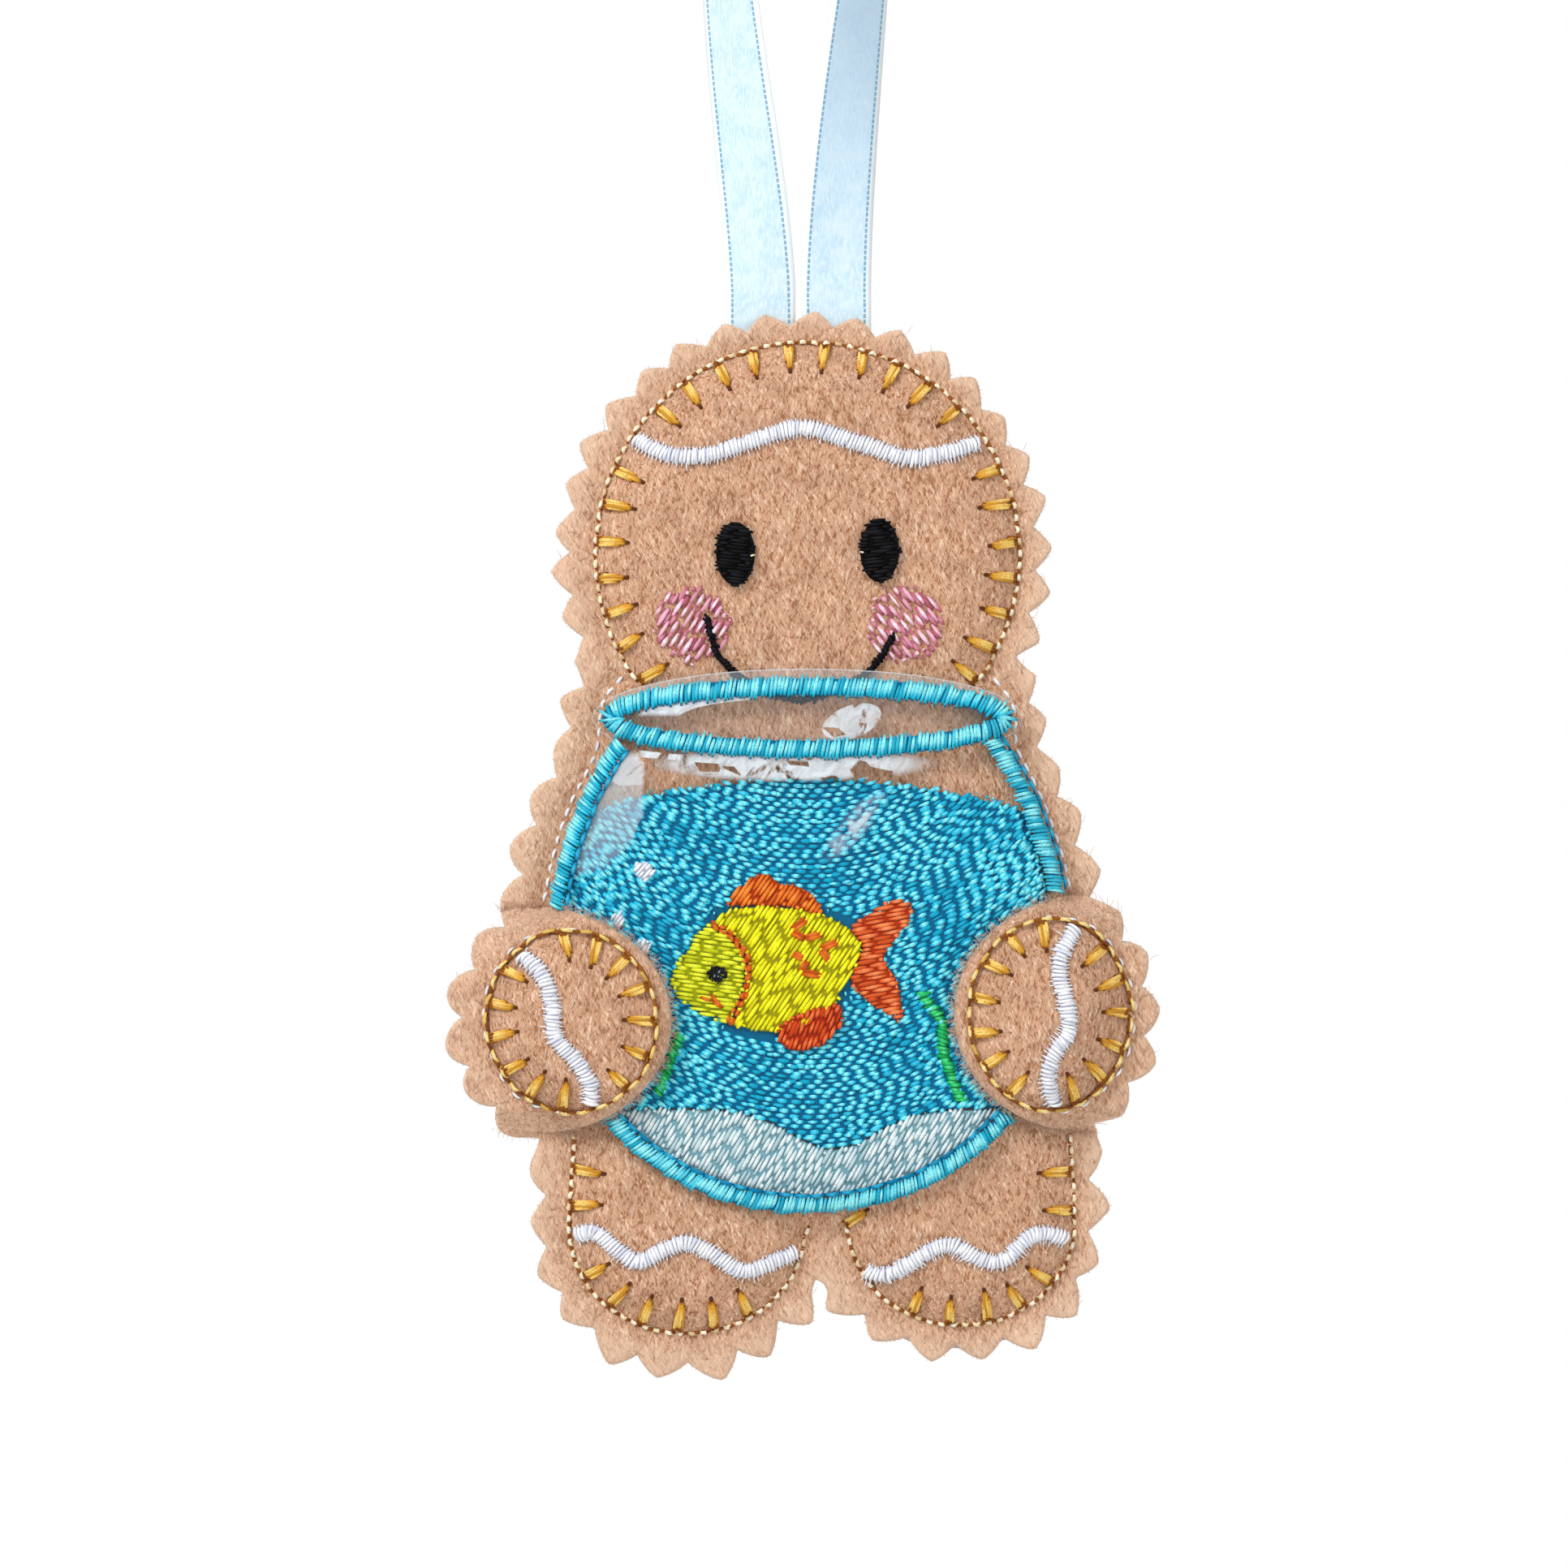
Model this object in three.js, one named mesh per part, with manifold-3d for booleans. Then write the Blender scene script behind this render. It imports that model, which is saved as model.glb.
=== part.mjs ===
// Felt christmas ornament: a gingerbread figure that hugs a fishbowl, hung on a satin ribbon loop.
// Millimetres, +Z up, the front faces -Y. The origin is the inside top of the ribbon loop.
// The figure is drawn by its height above the lowest stitch of the feet, then hung from the ribbon.

import * as THREE from 'three';
import { mergeVertices } from 'three/addons/utils/BufferGeometryUtils.js';
import Module from 'manifold-3d';

const wasm = await Module();
wasm.setup();

// Sheet goods
const feltThickness = 1.2;
const stabiliserThickness = 0.3;
const vinylThickness = 0.3;
const ribbonWidth = 7;
const ribbonThickness = 0.3;
const fit = 0.3;

// Wadding: how far it lifts the front felt, and how wide the slope beside the seam is
const crownHeight = 1.8;
const backCrownHeight = 0.9;
const crownSlope = 6;
const handCrown = 0.5;

// Figure, as the stitched outline of each limb: centre, half width, and height above and below it
const headRadius = 21.2;
const headHeight = 78;
const leftHand = { x: -23.5, z: 31.4, halfWidth: 8.5, rise: 9.1, drop: 9.1 };
const rightHand = { x: 24.1, z: 32.1, halfWidth: 8.1, rise: 9.6, drop: 9.6 };
const leftLeg = { x: -12.1, z: 10.2, halfWidth: 11.7, rise: 30, drop: 10.2 };
const rightLeg = { x: 15.4, z: 10.9, halfWidth: 11.3, rise: 30, drop: 10.1 };
const limbBlend = 2.5;

// Fishbowl
const bowl = { x: 0, z: 36.9, halfWidth: 25.5, rise: 32.5, drop: 24 };
const rim = { x: 0, z: 61.6, halfWidth: 19.8, rise: 3.1, drop: 3.1 };
const bandWidth = 2;
const bandHeight = 0.5;
const perimeterGap = 0.4;
const waterRise = 18.7;
const waterSag = 2.5;
const sandFall = 14.3;
const sandDip = 4;
const sandDipWidth = 6;
const sandDipX = 2.6;

// Pinked edge: reach of the tooth tips past the outline, tooth size, and how far the cut drifted
const edgeMargin = 3.8;
const toothPitch = 5;
const toothDepth = 1.4;
const cutDriftX = -0.5;
const cutDriftZ = -0.4;
const patchAllowance = 1.3;
const patchOverlap = 0.6;

// Thread
const fillHeight = 0.35;
const fishHeight = 0.4;
const markHeight = 0.25;
const seamWidth = 0.8;
const seamHeight = 0.35;
const tickPitch = 3.9;
const tickLength = 2.7;
const tickWidth = 1;
const icingWidth = 2;
const icingHeight = 0.5;
const smileWidth = 0.8;
const seaweedWidth = 0.9;

// Face
const eyeSpread = 7.2;
const eyeHalfWidth = 2.2;
const eyeHalfHeight = 3.35;
const cheekRadius = 4;
const leftCheekX = -11.5;
const rightCheekX = 9.7;
const cheekHeight = 70.9;

// Fish, and the bubbles it blows
const fish = { x: -4.1, z: 36.5, halfLength: 9.6, halfHeight: 6.4 };
const fishEyeRadius = 1;
const bubbleRadius = 1.1;
const smallBubbleRadius = 0.8;

// Ribbon hanger
const rootGap = 0.7;
const tailDepth = 10;
const loopSteps = 64;
const topTwist = Math.PI / 2;
const twistPower = 0.85;

// Modelling steps
const traceStep = 1;
const outlineStep = 2.8;
const patchStep = 2.24;
const smallStep = 1.4;
const bandStep = 2;
const tinyStep = 0.8;
const fewestPoints = 8;
const fewestEllipsePoints = 10;

// A tooth is a rounded lobe between two sharp notches, as shares of half its depth
const toothShares = [-1, 0.35, 1, 0.35];

// A band of thread is drawn in on top, a tick narrows to its tip
const bandTopShare = 0.5;
const tickHeightShare = 0.8;
const tickTipShare = 0.6;
const scaleWidthShare = 0.75;

// How far in from the edge the loops of each sheet lie, as shares of the crown's slope or the patch's size
const slopeShares = [0.25, 0.6, 1];
const fillShares = [0, 0.2, 0.4, 0.7];
const vinylShare = 0.85;
const patchShares = [1, 0.88, 0.7, 0.45];

// Tables of places, as shares of the radius or half sizes of what carries them
const foreheadShares = [[-0.84, 0.56], [-0.66, 0.47], [-0.47, 0.467], [-0.26, 0.53], [-0.034, 0.594],
  [0.22, 0.53], [0.481, 0.453], [0.67, 0.48], [0.82, 0.533]];
const smileShares = [[-0.47, -0.3], [-0.453, -0.387], [-0.415, -0.486], [-0.307, -0.585],
  [-0.038, -0.689], [0.245, -0.585], [0.33, -0.51], [0.401, -0.387]];
const leftHandWaveShares = [[-0.66, 0.77], [-0.365, 0.55], [-0.25, 0.32], [-0.21, 0.05], [-0.2, -0.15],
  [-0.035, -0.34], [0.14, -0.53], [0.235, -0.75], [0.22, -0.96]];
const rightHandWaveShares = [[0.33, 0.906], [0.21, 0.76], [0.123, 0.56], [0.123, 0.375], [0.235, -0.036],
  [0.21, -0.21], [0.062, -0.385], [-0.012, -0.55], [-0.012, -0.73], [0.062, -0.93]];
const leftFootWaveShares = [[-0.97, -0.05], [-0.8, 0.01], [-0.615, -0.147], [-0.41, -0.29],
  [-0.214, -0.186], [0, -0.095], [0.188, -0.186], [0.5, -0.385], [0.76, -0.284], [0.93, -0.21]];
const rightFootWaveShares = [[-0.93, -0.4], [-0.717, -0.505], [-0.46, -0.38], [-0.288, -0.248],
  [-0.106, -0.188], [0.15, -0.327], [0.283, -0.366], [0.407, -0.327], [0.6, -0.11], [0.76, -0.085],
  [0.95, -0.16]];
const gillShares = [[-0.593, 0.732], [-0.364, 0.516], [-0.2, 0.146], [-0.2, -0.197], [-0.3, -0.656],
  [-0.4, -0.86]];
const fishFaceShares = [[-0.712, -0.682], [-0.941, -0.44], [-1, -0.134], [-0.797, 0.427], [-0.68, 0.65]];
const fishBackShares = [[-0.42, 0.92], [-0.161, 1], [0.254, 0.975], [0.559, 0.885], [0.873, 0.643],
  [1, 0.363], [0.932, 0.057], [0.788, -0.287], [0.703, -0.656], [0.169, -1], [-0.25, -0.93]];
const dorsalShares = [[-0.43, 1.0], [-0.28, 1.293], [-0.017, 1.535], [0.153, 1.357], [0.314, 1.331],
  [0.5, 1.166], [0.56, 0.99], [0.254, 1.07], [-0.161, 1.1]];
const tailShares = [[0.96, 0.669], [1.153, 0.975], [1.339, 1.102], [1.525, 1.013], [1.466, 0.669],
  [1.237, 0.172], [1.364, -0.134], [1.407, -0.809], [1.178, -0.656], [0.94, -0.19], [1.01, 0.04],
  [1.07, 0.36]];
const bellyShares = [[0.763, -0.72], [0.703, -0.962], [0.542, -1.217], [0.297, -1.268], [0.153, -1.14],
  [0.475, -0.97]];
const scaleShares = [[0.33, 0.7], [0.52, 0.55], [0.36, 0.42], [0.6, 0.28], [0.44, 0.12], [0.66, -0.02]];
const fishEyeShares = [-0.517, -0.07];
const bubbleShares = [[-0.64, 0.29], [-0.74, 0.14], [-0.64, 0.057]];
const leftSeaweedShares = [[-0.5, -0.29], [-0.55, -0.43], [-0.585, -0.53]];
const rightSeaweedShares = [[0.445, -0.115], [0.53, -0.245], [0.53, -0.35], [0.57, -0.48], [0.6, -0.56]];

// Route of the free ribbon above the hinge line, from the left root over the top to the right root
const ribbonRoute = [[-4.7, 0.15], [-4.7, 1.6], [-5.1, 7], [-6, 15], [-7.1, 24], [-8.1, 34], [-8.8, 45],
  [-8.9, 56], [-8, 66], [-6, 74], [-3.6, 78.8], [-1, 80.5], [1.6, 78.8], [4, 74], [5.9, 66], [6.8, 56],
  [6.6, 45], [5.7, 34], [4.6, 24], [3.7, 15], [3.1, 7], [2.9, 1.6], [2.9, 0.15]];

// Places along Y worked out from the stack of sheets
const backFeltFront = ribbonThickness / 2;
const backFeltBack = backFeltFront + feltThickness;
const stabiliserBack = ribbonThickness / 2;
const frontFeltBack = stabiliserBack + stabiliserThickness;
const frontFeltFront = frontFeltBack + feltThickness;
const fillLift = fit;
const fishLift = fillLift + fillHeight;
const markLift = fishLift + fishHeight;
const smileLift = fillLift + fillHeight;
const vinylLift = markLift + markHeight + fit / 2;
const vinylEdgeLift = fit * 2;
const vinylTopEdgeLift = smileLift + seamHeight + fit / 2;
const vinylEdgeWidth = 2.5;
const patchLift = vinylLift + vinylThickness + fit;
const patchFall = 4.5;

// Places along Z
const feltTop = headHeight + headRadius + edgeMargin + cutDriftZ;
const hingeHeight = feltTop + rootGap;
const seamTop = headHeight + headRadius;
const neckHeight = rim.z - rim.drop / 2;
const loopTop = Math.max(...ribbonRoute.map(([, z]) => z));

// The perimeter seam passes just outside the ring of stitches round each hand
const perimeterReach = seamWidth + fit;

// Distance fields: the distance from an edge, negative inside

function eggDistance(x, z, egg) {
  const up = z - egg.z;
  const reachZ = up > 0 ? egg.rise : egg.drop;
  const u = (x - egg.x) / egg.halfWidth;
  const v = up / reachZ;
  const radius = Math.hypot(u, v);
  const steepness = Math.hypot(u / egg.halfWidth, v / reachZ);
  const deepest = -Math.min(egg.halfWidth, reachZ);
  return steepness === 0 ? deepest : Math.max(radius * (radius - 1) / steepness, deepest);
}

// A slot shape with round ends, as long and as tall as the egg
function slotDistance(x, z, egg) {
  const straight = egg.halfWidth - egg.rise;
  return Math.hypot(Math.max(Math.abs(x - egg.x) - straight, 0), z - egg.z) - egg.rise;
}

function smoothUnion(a, b) {
  const share = Math.max(limbBlend - Math.abs(a - b), 0) / limbBlend;
  return Math.min(a, b) - share * share * limbBlend / 4;
}

function limbDistances(x, z, handReach) {
  return {
    head: Math.hypot(x, z - headHeight) - headRadius,
    rim: slotDistance(x, z, rim) - bandWidth / 2,
    bowl: eggDistance(x, z, bowl) - bandWidth / 2 - perimeterGap,
    leftHand: eggDistance(x, z, leftHand) - handReach,
    rightHand: eggDistance(x, z, rightHand) - handReach,
    leftLeg: eggDistance(x, z, leftLeg),
    rightLeg: eggDistance(x, z, rightLeg),
  };
}

function seamDistance(x, z) {
  return Object.values(limbDistances(x, z, perimeterReach)).reduce(smoothUnion);
}

function cutDistance(x, z) {
  return Object.values(limbDistances(x - cutDriftX, z - cutDriftZ, 0)).reduce(smoothUnion);
}

function vinylDistance(x, z) {
  const reach = bandWidth / 2 + perimeterGap * 2;
  const sizes = { halfWidth: rim.halfWidth + reach, rise: rim.rise + reach, drop: rim.drop + reach };
  const mouth = eggDistance(x, z, { ...rim, ...sizes });
  return Math.min(Math.max(eggDistance(x, z, bowl) - bandWidth / 4, z - rim.z - rim.rise), mouth);
}

function bowlInside(x, z) {
  return eggDistance(x, z, bowl) + bandWidth / 2 + fit;
}

function waterSurface(x) {
  const share = x / rim.halfWidth;
  return bowl.z + waterRise - waterSag * share * share;
}

function sandSurface(x) {
  const share = (x - sandDipX) / sandDipWidth;
  return bowl.z - sandFall - sandDip * Math.exp(-share * share);
}

function waterDistance(x, z) {
  return Math.max(bowlInside(x, z), z - waterSurface(x), sandSurface(x) + fit - z);
}

function sandDistance(x, z) {
  return Math.max(bowlInside(x, z), z - sandSurface(x));
}

// The hand patches are trimmed close on the bowl side and reach past the outline on the outer side
function patchEgg(hand) {
  const outward = Math.sign(hand.x);
  const outer = patchAllowance + patchOverlap;
  return {
    x: hand.x + outward * patchOverlap / 2,
    z: hand.z,
    halfWidth: hand.halfWidth + (patchAllowance + outer) / 2,
    rise: hand.rise + patchAllowance,
    drop: hand.drop + patchAllowance,
  };
}

function patchDistance(x, z) {
  return Math.min(eggDistance(x, z, patchEgg(leftHand)), eggDistance(x, z, patchEgg(rightHand)));
}

// Surfaces: how far the top of a layer stands from the seam plane, towards the viewer

function ramp(value, from, to) {
  return THREE.MathUtils.clamp((value - from) / (to - from), 0, 1);
}

function puff(x, z) {
  const inset = ramp(-seamDistance(x, z), 0, crownSlope);
  return 1 - (1 - inset) * (1 - inset);
}

const crown = (x, z) => crownHeight * puff(x, z);
const backSurface = (x, z) => backFeltBack + backCrownHeight * puff(x, z);

function feltSurface(x, z) {
  return frontFeltFront + crown(x, z);
}

function vinylUnderside(x, z) {
  const topShare = ramp(z, neckHeight - rim.drop, rim.z);
  const edgeLift = THREE.MathUtils.lerp(vinylEdgeLift, vinylTopEdgeLift, topShare);
  const inset = ramp(-vinylDistance(x, z), 0, vinylEdgeWidth);
  return feltSurface(x, z) + THREE.MathUtils.lerp(edgeLift, vinylLift, inset);
}

function vinylSurface(x, z) {
  return vinylUnderside(x, z) + vinylThickness;
}

// What the bowl's satin lies on: the vinyl, and past the vinyl's edge the felt
function bandGround(x, z) {
  const past = ramp(vinylDistance(x, z), fit, fit + bandWidth / 2);
  return THREE.MathUtils.lerp(vinylSurface(x, z), feltSurface(x, z), past) + fit;
}

function patchUnderside(x, z) {
  const past = ramp(vinylDistance(x, z), bandWidth / 2, bandWidth / 2 + patchFall);
  const hand = x < 0 ? leftHand : rightHand;
  const swell = handCrown * ramp(-eggDistance(x, z, hand), 0, hand.halfWidth / 2);
  return feltSurface(x, z) + THREE.MathUtils.lerp(patchLift, fit, past) + swell;
}

function patchGround(x, z) {
  return patchUnderside(x, z) + feltThickness + fit;
}

const liftedFrom = (surface, lift) => (x, z) => surface(x, z) + lift;
const threadGround = liftedFrom(feltSurface, fillLift);
const plateau = frontFeltFront + crownHeight;

// Outlines

const traceLeft = Math.min(leftHand.x - leftHand.halfWidth, -headRadius) - edgeMargin * 2;
const traceRight = Math.max(rightHand.x + rightHand.halfWidth, headRadius) + edgeMargin * 2;
const traceBottom = Math.min(leftLeg.z - leftLeg.drop, rightLeg.z - rightLeg.drop) - edgeMargin * 2;
const traceTop = seamTop + edgeMargin * 2;

// Closed loops, counterclockwise, where a field has the given value
function levelLoops(field, level) {
  const columns = Math.ceil((traceRight - traceLeft) / traceStep);
  const rows = Math.ceil((traceTop - traceBottom) / traceStep);
  const place = (i, j) => new THREE.Vector2(traceLeft + i * traceStep, traceBottom + j * traceStep);
  const values = Array.from({ length: columns + 1 }, (_, i) =>
    Array.from({ length: rows + 1 }, (_, j) => field(place(i, j).x, place(i, j).y) - level));
  const crossing = (i, j, k, m) => {
    const share = values[i][j] / (values[i][j] - values[k][m]);
    return place(i, j).lerp(place(k, m), share);
  };
  const steps = new Map();
  for (let i = 0; i < columns; i += 1) {
    for (let j = 0; j < rows; j += 1) {
      const corners = [[i, j], [i + 1, j], [i + 1, j + 1], [i, j + 1]];
      const sides = [`h${i},${j}`, `v${i + 1},${j}`, `h${i},${j + 1}`, `v${i},${j}`];
      const isInside = corners.map(([k, m]) => values[k][m] < 0);
      const after = (side) => (side + 1) % sides.length;
      const before = (side) => (side + sides.length - 1) % sides.length;
      sides.forEach((name, enter) => {
        if (!isInside[enter] || isInside[after(enter)]) return;
        let leave = before(enter);
        while (isInside[leave] || !isInside[after(leave)]) leave = before(leave);
        const point = crossing(...corners[enter], ...corners[after(enter)]);
        steps.set(name, { point, next: sides[leave] });
      });
    }
  }
  const loops = [];
  while (steps.size > 0) {
    const loop = [];
    let key = steps.keys().next().value;
    while (steps.has(key)) {
      const step = steps.get(key);
      steps.delete(key);
      loop.push(step.point);
      key = step.next;
    }
    loops.push(loop);
  }
  return loops;
}

const longest = (lines) => lines.reduce((a, b) => (a.length > b.length ? a : b));

function lineLength(points, closed) {
  const last = closed ? points.length : points.length - 1;
  let length = 0;
  for (let i = 0; i < last; i += 1) length += points[i].distanceTo(points[(i + 1) % points.length]);
  return length;
}

// Evenly spaced points along a line, with both ends where it is open
function resample(points, count, closed) {
  const total = lineLength(points, closed);
  const steps = closed ? count : count - 1;
  const result = [];
  let index = 0;
  let passed = 0;
  for (let i = 0; i < count; i += 1) {
    const target = total * i / steps;
    let span = points[index].distanceTo(points[(index + 1) % points.length]);
    while (passed + span < target && index < points.length - (closed ? 1 : 2)) {
      passed += span;
      index += 1;
      span = points[index].distanceTo(points[(index + 1) % points.length]);
    }
    const share = span === 0 ? 0 : (target - passed) / span;
    result.push(points[index].clone().lerp(points[(index + 1) % points.length], Math.min(share, 1)));
  }
  return result;
}

function evenLoops(field, level, step) {
  return levelLoops(field, level).filter((loop) => loop.length > fewestPoints).map((loop) =>
    resample(loop, Math.max(fewestPoints, Math.round(lineLength(loop, true) / step)), true));
}

function outwardNormal(field, point) {
  const reach = traceStep / 4;
  const normal = new THREE.Vector2(
    field(point.x + reach, point.y) - field(point.x - reach, point.y),
    field(point.x, point.y + reach) - field(point.x, point.y - reach));
  return normal.normalize();
}

function pinkedOutline() {
  const middle = edgeMargin - toothDepth / 2;
  const loop = longest(levelLoops(cutDistance, middle));
  const teeth = Math.round(lineLength(loop, true) / toothPitch);
  const points = resample(loop, teeth * toothShares.length, true);
  return points.map((point, i) => {
    const offset = toothShares[i % toothShares.length] * toothDepth / 2;
    return point.clone().addScaledVector(outwardNormal(cutDistance, point), offset);
  });
}

function smoothLine(points, step) {
  const places = points.map((point) => new THREE.Vector3(point.x, point.y, 0));
  const curve = new THREE.CatmullRomCurve3(places, false, 'centripetal');
  const count = Math.max(2, Math.round(curve.getLength() / step));
  return curve.getSpacedPoints(count).map((point) => new THREE.Vector2(point.x, point.y));
}

function sharesOf(shares, centreX, centreZ, scaleX, scaleZ) {
  return shares.map(([x, z]) => new THREE.Vector2(centreX + x * scaleX, centreZ + z * scaleZ));
}

const onHead = (shares) => sharesOf(shares, 0, headHeight, headRadius, headRadius);
const onEgg = (shares, egg) => sharesOf(shares, egg.x, egg.z, egg.halfWidth, egg.drop);
const onFish = (shares) => sharesOf(shares, fish.x, fish.z, fish.halfLength, fish.halfHeight);

function ellipseLoop(x, z, halfWidth, halfHeight, step) {
  const curve = new THREE.EllipseCurve(x, z, halfWidth, halfHeight);
  const count = Math.max(fewestEllipsePoints, Math.round(curve.getLength() / step));
  return curve.getSpacedPoints(count).slice(0, -1);
}

// Solids

function geometryFrom(corners, faces) {
  const geometry = new THREE.BufferGeometry();
  let volume = 0;
  for (const [a, b, c] of faces) volume += corners[a].dot(corners[b].clone().cross(corners[c]));
  const outward = volume < 0 ? faces.map(([a, b, c]) => [a, c, b]) : faces;
  const values = corners.flatMap((corner) => corner.toArray());
  geometry.setAttribute('position', new THREE.Float32BufferAttribute(values, 3));
  geometry.setIndex(outward.flat());
  return geometry;
}

function holds(loop, point) {
  let inside = false;
  for (let i = 0; i < loop.length; i += 1) {
    const a = loop[i];
    const b = loop[(i + 1) % loop.length];
    if ((a.y > point.y) !== (b.y > point.y) && point.x < a.x + (b.x - a.x) * (point.y - a.y) / (b.y - a.y)) {
      inside = !inside;
    }
  }
  return inside;
}

// The strip between a loop and the one loop inside it, zipped along the shorter diagonals
function zippedStrip(outer, inner) {
  const distances = inner.map((point) => point.distanceTo(outer[0]));
  const first = distances.indexOf(Math.min(...distances));
  const outerAt = (i) => i % outer.length;
  const innerAt = (j) => (first + j) % inner.length;
  const faces = [];
  let i = 0;
  let j = 0;
  while (i < outer.length || j < inner.length) {
    const alongOuter = outer[outerAt(i + 1)].distanceTo(inner[innerAt(j)]);
    const alongInner = outer[outerAt(i)].distanceTo(inner[innerAt(j + 1)]);
    const here = [outerAt(i), outer.length + innerAt(j)];
    if (j === inner.length || (i < outer.length && alongOuter <= alongInner)) {
      faces.push([here[0], outerAt(i + 1), here[1]]);
      i += 1;
    } else {
      faces.push([here[0], outer.length + innerAt(j + 1), here[1]]);
      j += 1;
    }
  }
  return faces;
}

// A sheet over nested loops, from its edge inwards, between an underside and a top
function sheet(levels, underside, top) {
  const loops = levels.flat();
  const starts = new Map();
  const points = [];
  for (const loop of loops) {
    starts.set(loop, points.length);
    points.push(...loop);
  }
  const faces = [];
  const corners = [
    ...points.map((point) => new THREE.Vector3(point.x, -top(point.x, point.y), point.y)),
    ...points.map((point) => new THREE.Vector3(point.x, -underside(point.x, point.y), point.y)),
  ];
  const below = points.length;
  levels.forEach((level, depth) => {
    for (const loop of level) {
      const holes = (levels[depth + 1] ?? []).filter((inner) => holds(loop, inner[0]));
      const order = [loop, ...holes].flatMap((ring) => ring.map((_, i) => starts.get(ring) + i));
      const isStrip = holes.length === 1;
      const strip = isStrip ? zippedStrip(loop, holes[0]) : THREE.ShapeUtils.triangulateShape(loop, holes);
      for (const face of strip) {
        const [a, b, c] = face.map((i) => order[i]);
        const turn = points[b].clone().sub(points[a]).cross(points[c].clone().sub(points[a]));
        const [p, q, r] = isStrip || turn > 0 ? [a, b, c] : [a, c, b];
        faces.push([p, q, r], [below + p, below + r, below + q]);
      }
    }
  });
  for (const loop of levels[0]) {
    const clockwise = THREE.ShapeUtils.isClockWise(loop);
    loop.forEach((_, i) => {
      const here = starts.get(loop) + i;
      const next = starts.get(loop) + (i + 1) % loop.length;
      const [p, q] = clockwise ? [next, here] : [here, next];
      faces.push([q, p, below + p], [q, below + p, below + q]);
    });
  }
  return geometryFrom(corners, faces);
}

// A flat piece of thread fill, lying at one level
function flatFill(outline, level, height) {
  const options = { depth: height, bevelEnabled: false, curveSegments: 1 };
  const geometry = new THREE.ExtrudeGeometry(new THREE.Shape(outline), options);
  geometry.rotateX(Math.PI / 2);
  geometry.translate(0, -level, 0);
  return geometry;
}

function sweep(rings, closed) {
  const sides = rings[0].length;
  const faces = [];
  const last = closed ? rings.length : rings.length - 1;
  for (let i = 0; i < last; i += 1) {
    for (let j = 0; j < sides; j += 1) {
      const a = i * sides + j;
      const b = i * sides + (j + 1) % sides;
      const c = ((i + 1) % rings.length) * sides + j;
      const d = ((i + 1) % rings.length) * sides + (j + 1) % sides;
      faces.push([a, b, d], [a, d, c]);
    }
  }
  if (!closed) {
    const end = (rings.length - 1) * sides;
    for (let j = 1; j < sides - 1; j += 1) faces.push([0, j + 1, j], [end, end + j, end + j + 1]);
  }
  return geometryFrom(rings.flat(), faces);
}

// A raised band of thread along a line: flat underneath, drawn in on top, and draped on its ground
function band(line, width, height, ground, options = {}) {
  const { closed = false, side = -1, endWidth = width } = options;
  const rings = line.map((point, i) => {
    const before = line[closed ? (i + line.length - 1) % line.length : Math.max(i - 1, 0)];
    const after = line[closed ? (i + 1) % line.length : Math.min(i + 1, line.length - 1)];
    const along = after.clone().sub(before).normalize();
    const across = new THREE.Vector2(-along.y, along.x);
    const half = THREE.MathUtils.lerp(width, endWidth, i / (line.length - 1)) / 2;
    const corner = (share, lift) => {
      const place = point.clone().addScaledVector(across, share * half);
      return new THREE.Vector3(place.x, side * (ground(place.x, place.y) + lift), place.y);
    };
    const middle = width > seamWidth * 1.5 ? [corner(0, 0)] : [];
    const upper = [corner(bandTopShare, height), corner(-bandTopShare, height)];
    return [corner(-1, 0), ...middle, corner(1, 0), ...upper];
  });
  return sweep(rings, closed);
}

function solidOf(geometry) {
  const bare = new THREE.BufferGeometry();
  bare.setAttribute('position', geometry.getAttribute('position'));
  bare.setIndex(geometry.getIndex());
  const merged = mergeVertices(bare);
  return new wasm.Manifold(new wasm.Mesh({
    numProp: 3,
    vertProperties: new Float32Array(merged.getAttribute('position').array),
    triVerts: new Uint32Array(merged.getIndex().array),
  }));
}

function joined(geometries) {
  const mesh = geometries.map(solidOf).reduce((sum, solid) => sum.add(solid)).getMesh();
  const geometry = new THREE.BufferGeometry();
  geometry.setAttribute('position', new THREE.BufferAttribute(new Float32Array(mesh.vertProperties), 3));
  geometry.setIndex(Array.from(mesh.triVerts));
  return geometry;
}

// Materials

function finish(colour, roughness) {
  return new THREE.MeshStandardMaterial({ color: colour, roughness, metalness: 0 });
}

const feltFinish = finish('#cda080', 0.95);
const waddingFinish = finish('#f2f0ea', 1);
const vinylFinish = finish('#eef6f8', 0.1);
vinylFinish.transparent = true;
vinylFinish.opacity = 0.3;
const ribbonFinish = finish('#c8e4f2', 0.35);
const threads = {
  turquoise: finish('#28c3e6', 0.45),
  water: finish('#1ea0c8', 0.5),
  sand: finish('#cddee1', 0.55),
  white: finish('#f0f2fa', 0.45),
  gold: finish('#f0b93c', 0.45),
  black: finish('#19191c', 0.5),
  pink: finish('#e196aa', 0.5),
  yellow: finish('#f0eb28', 0.45),
  lime: finish('#d7dc28', 0.45),
  orange: finish('#eb6e2d', 0.45),
  green: finish('#0aa550', 0.5),
};

// The ornament

const ornament = new THREE.Group();
const figure = new THREE.Group();
figure.position.z = ribbonThickness / 2 - hingeHeight - loopTop;
ornament.add(figure);

function add(name, geometry, material) {
  const mesh = new THREE.Mesh(geometry, material);
  mesh.name = name;
  figure.add(mesh);
}

// Felts, with the stabiliser and the wadding between them
const edge = pinkedOutline();
const seamLoops = evenLoops(seamDistance, 0, outlineStep);
const slopeLoops = slopeShares.map((share) => evenLoops(seamDistance, -share * crownSlope, outlineStep));
const level = (value) => () => value;

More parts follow.
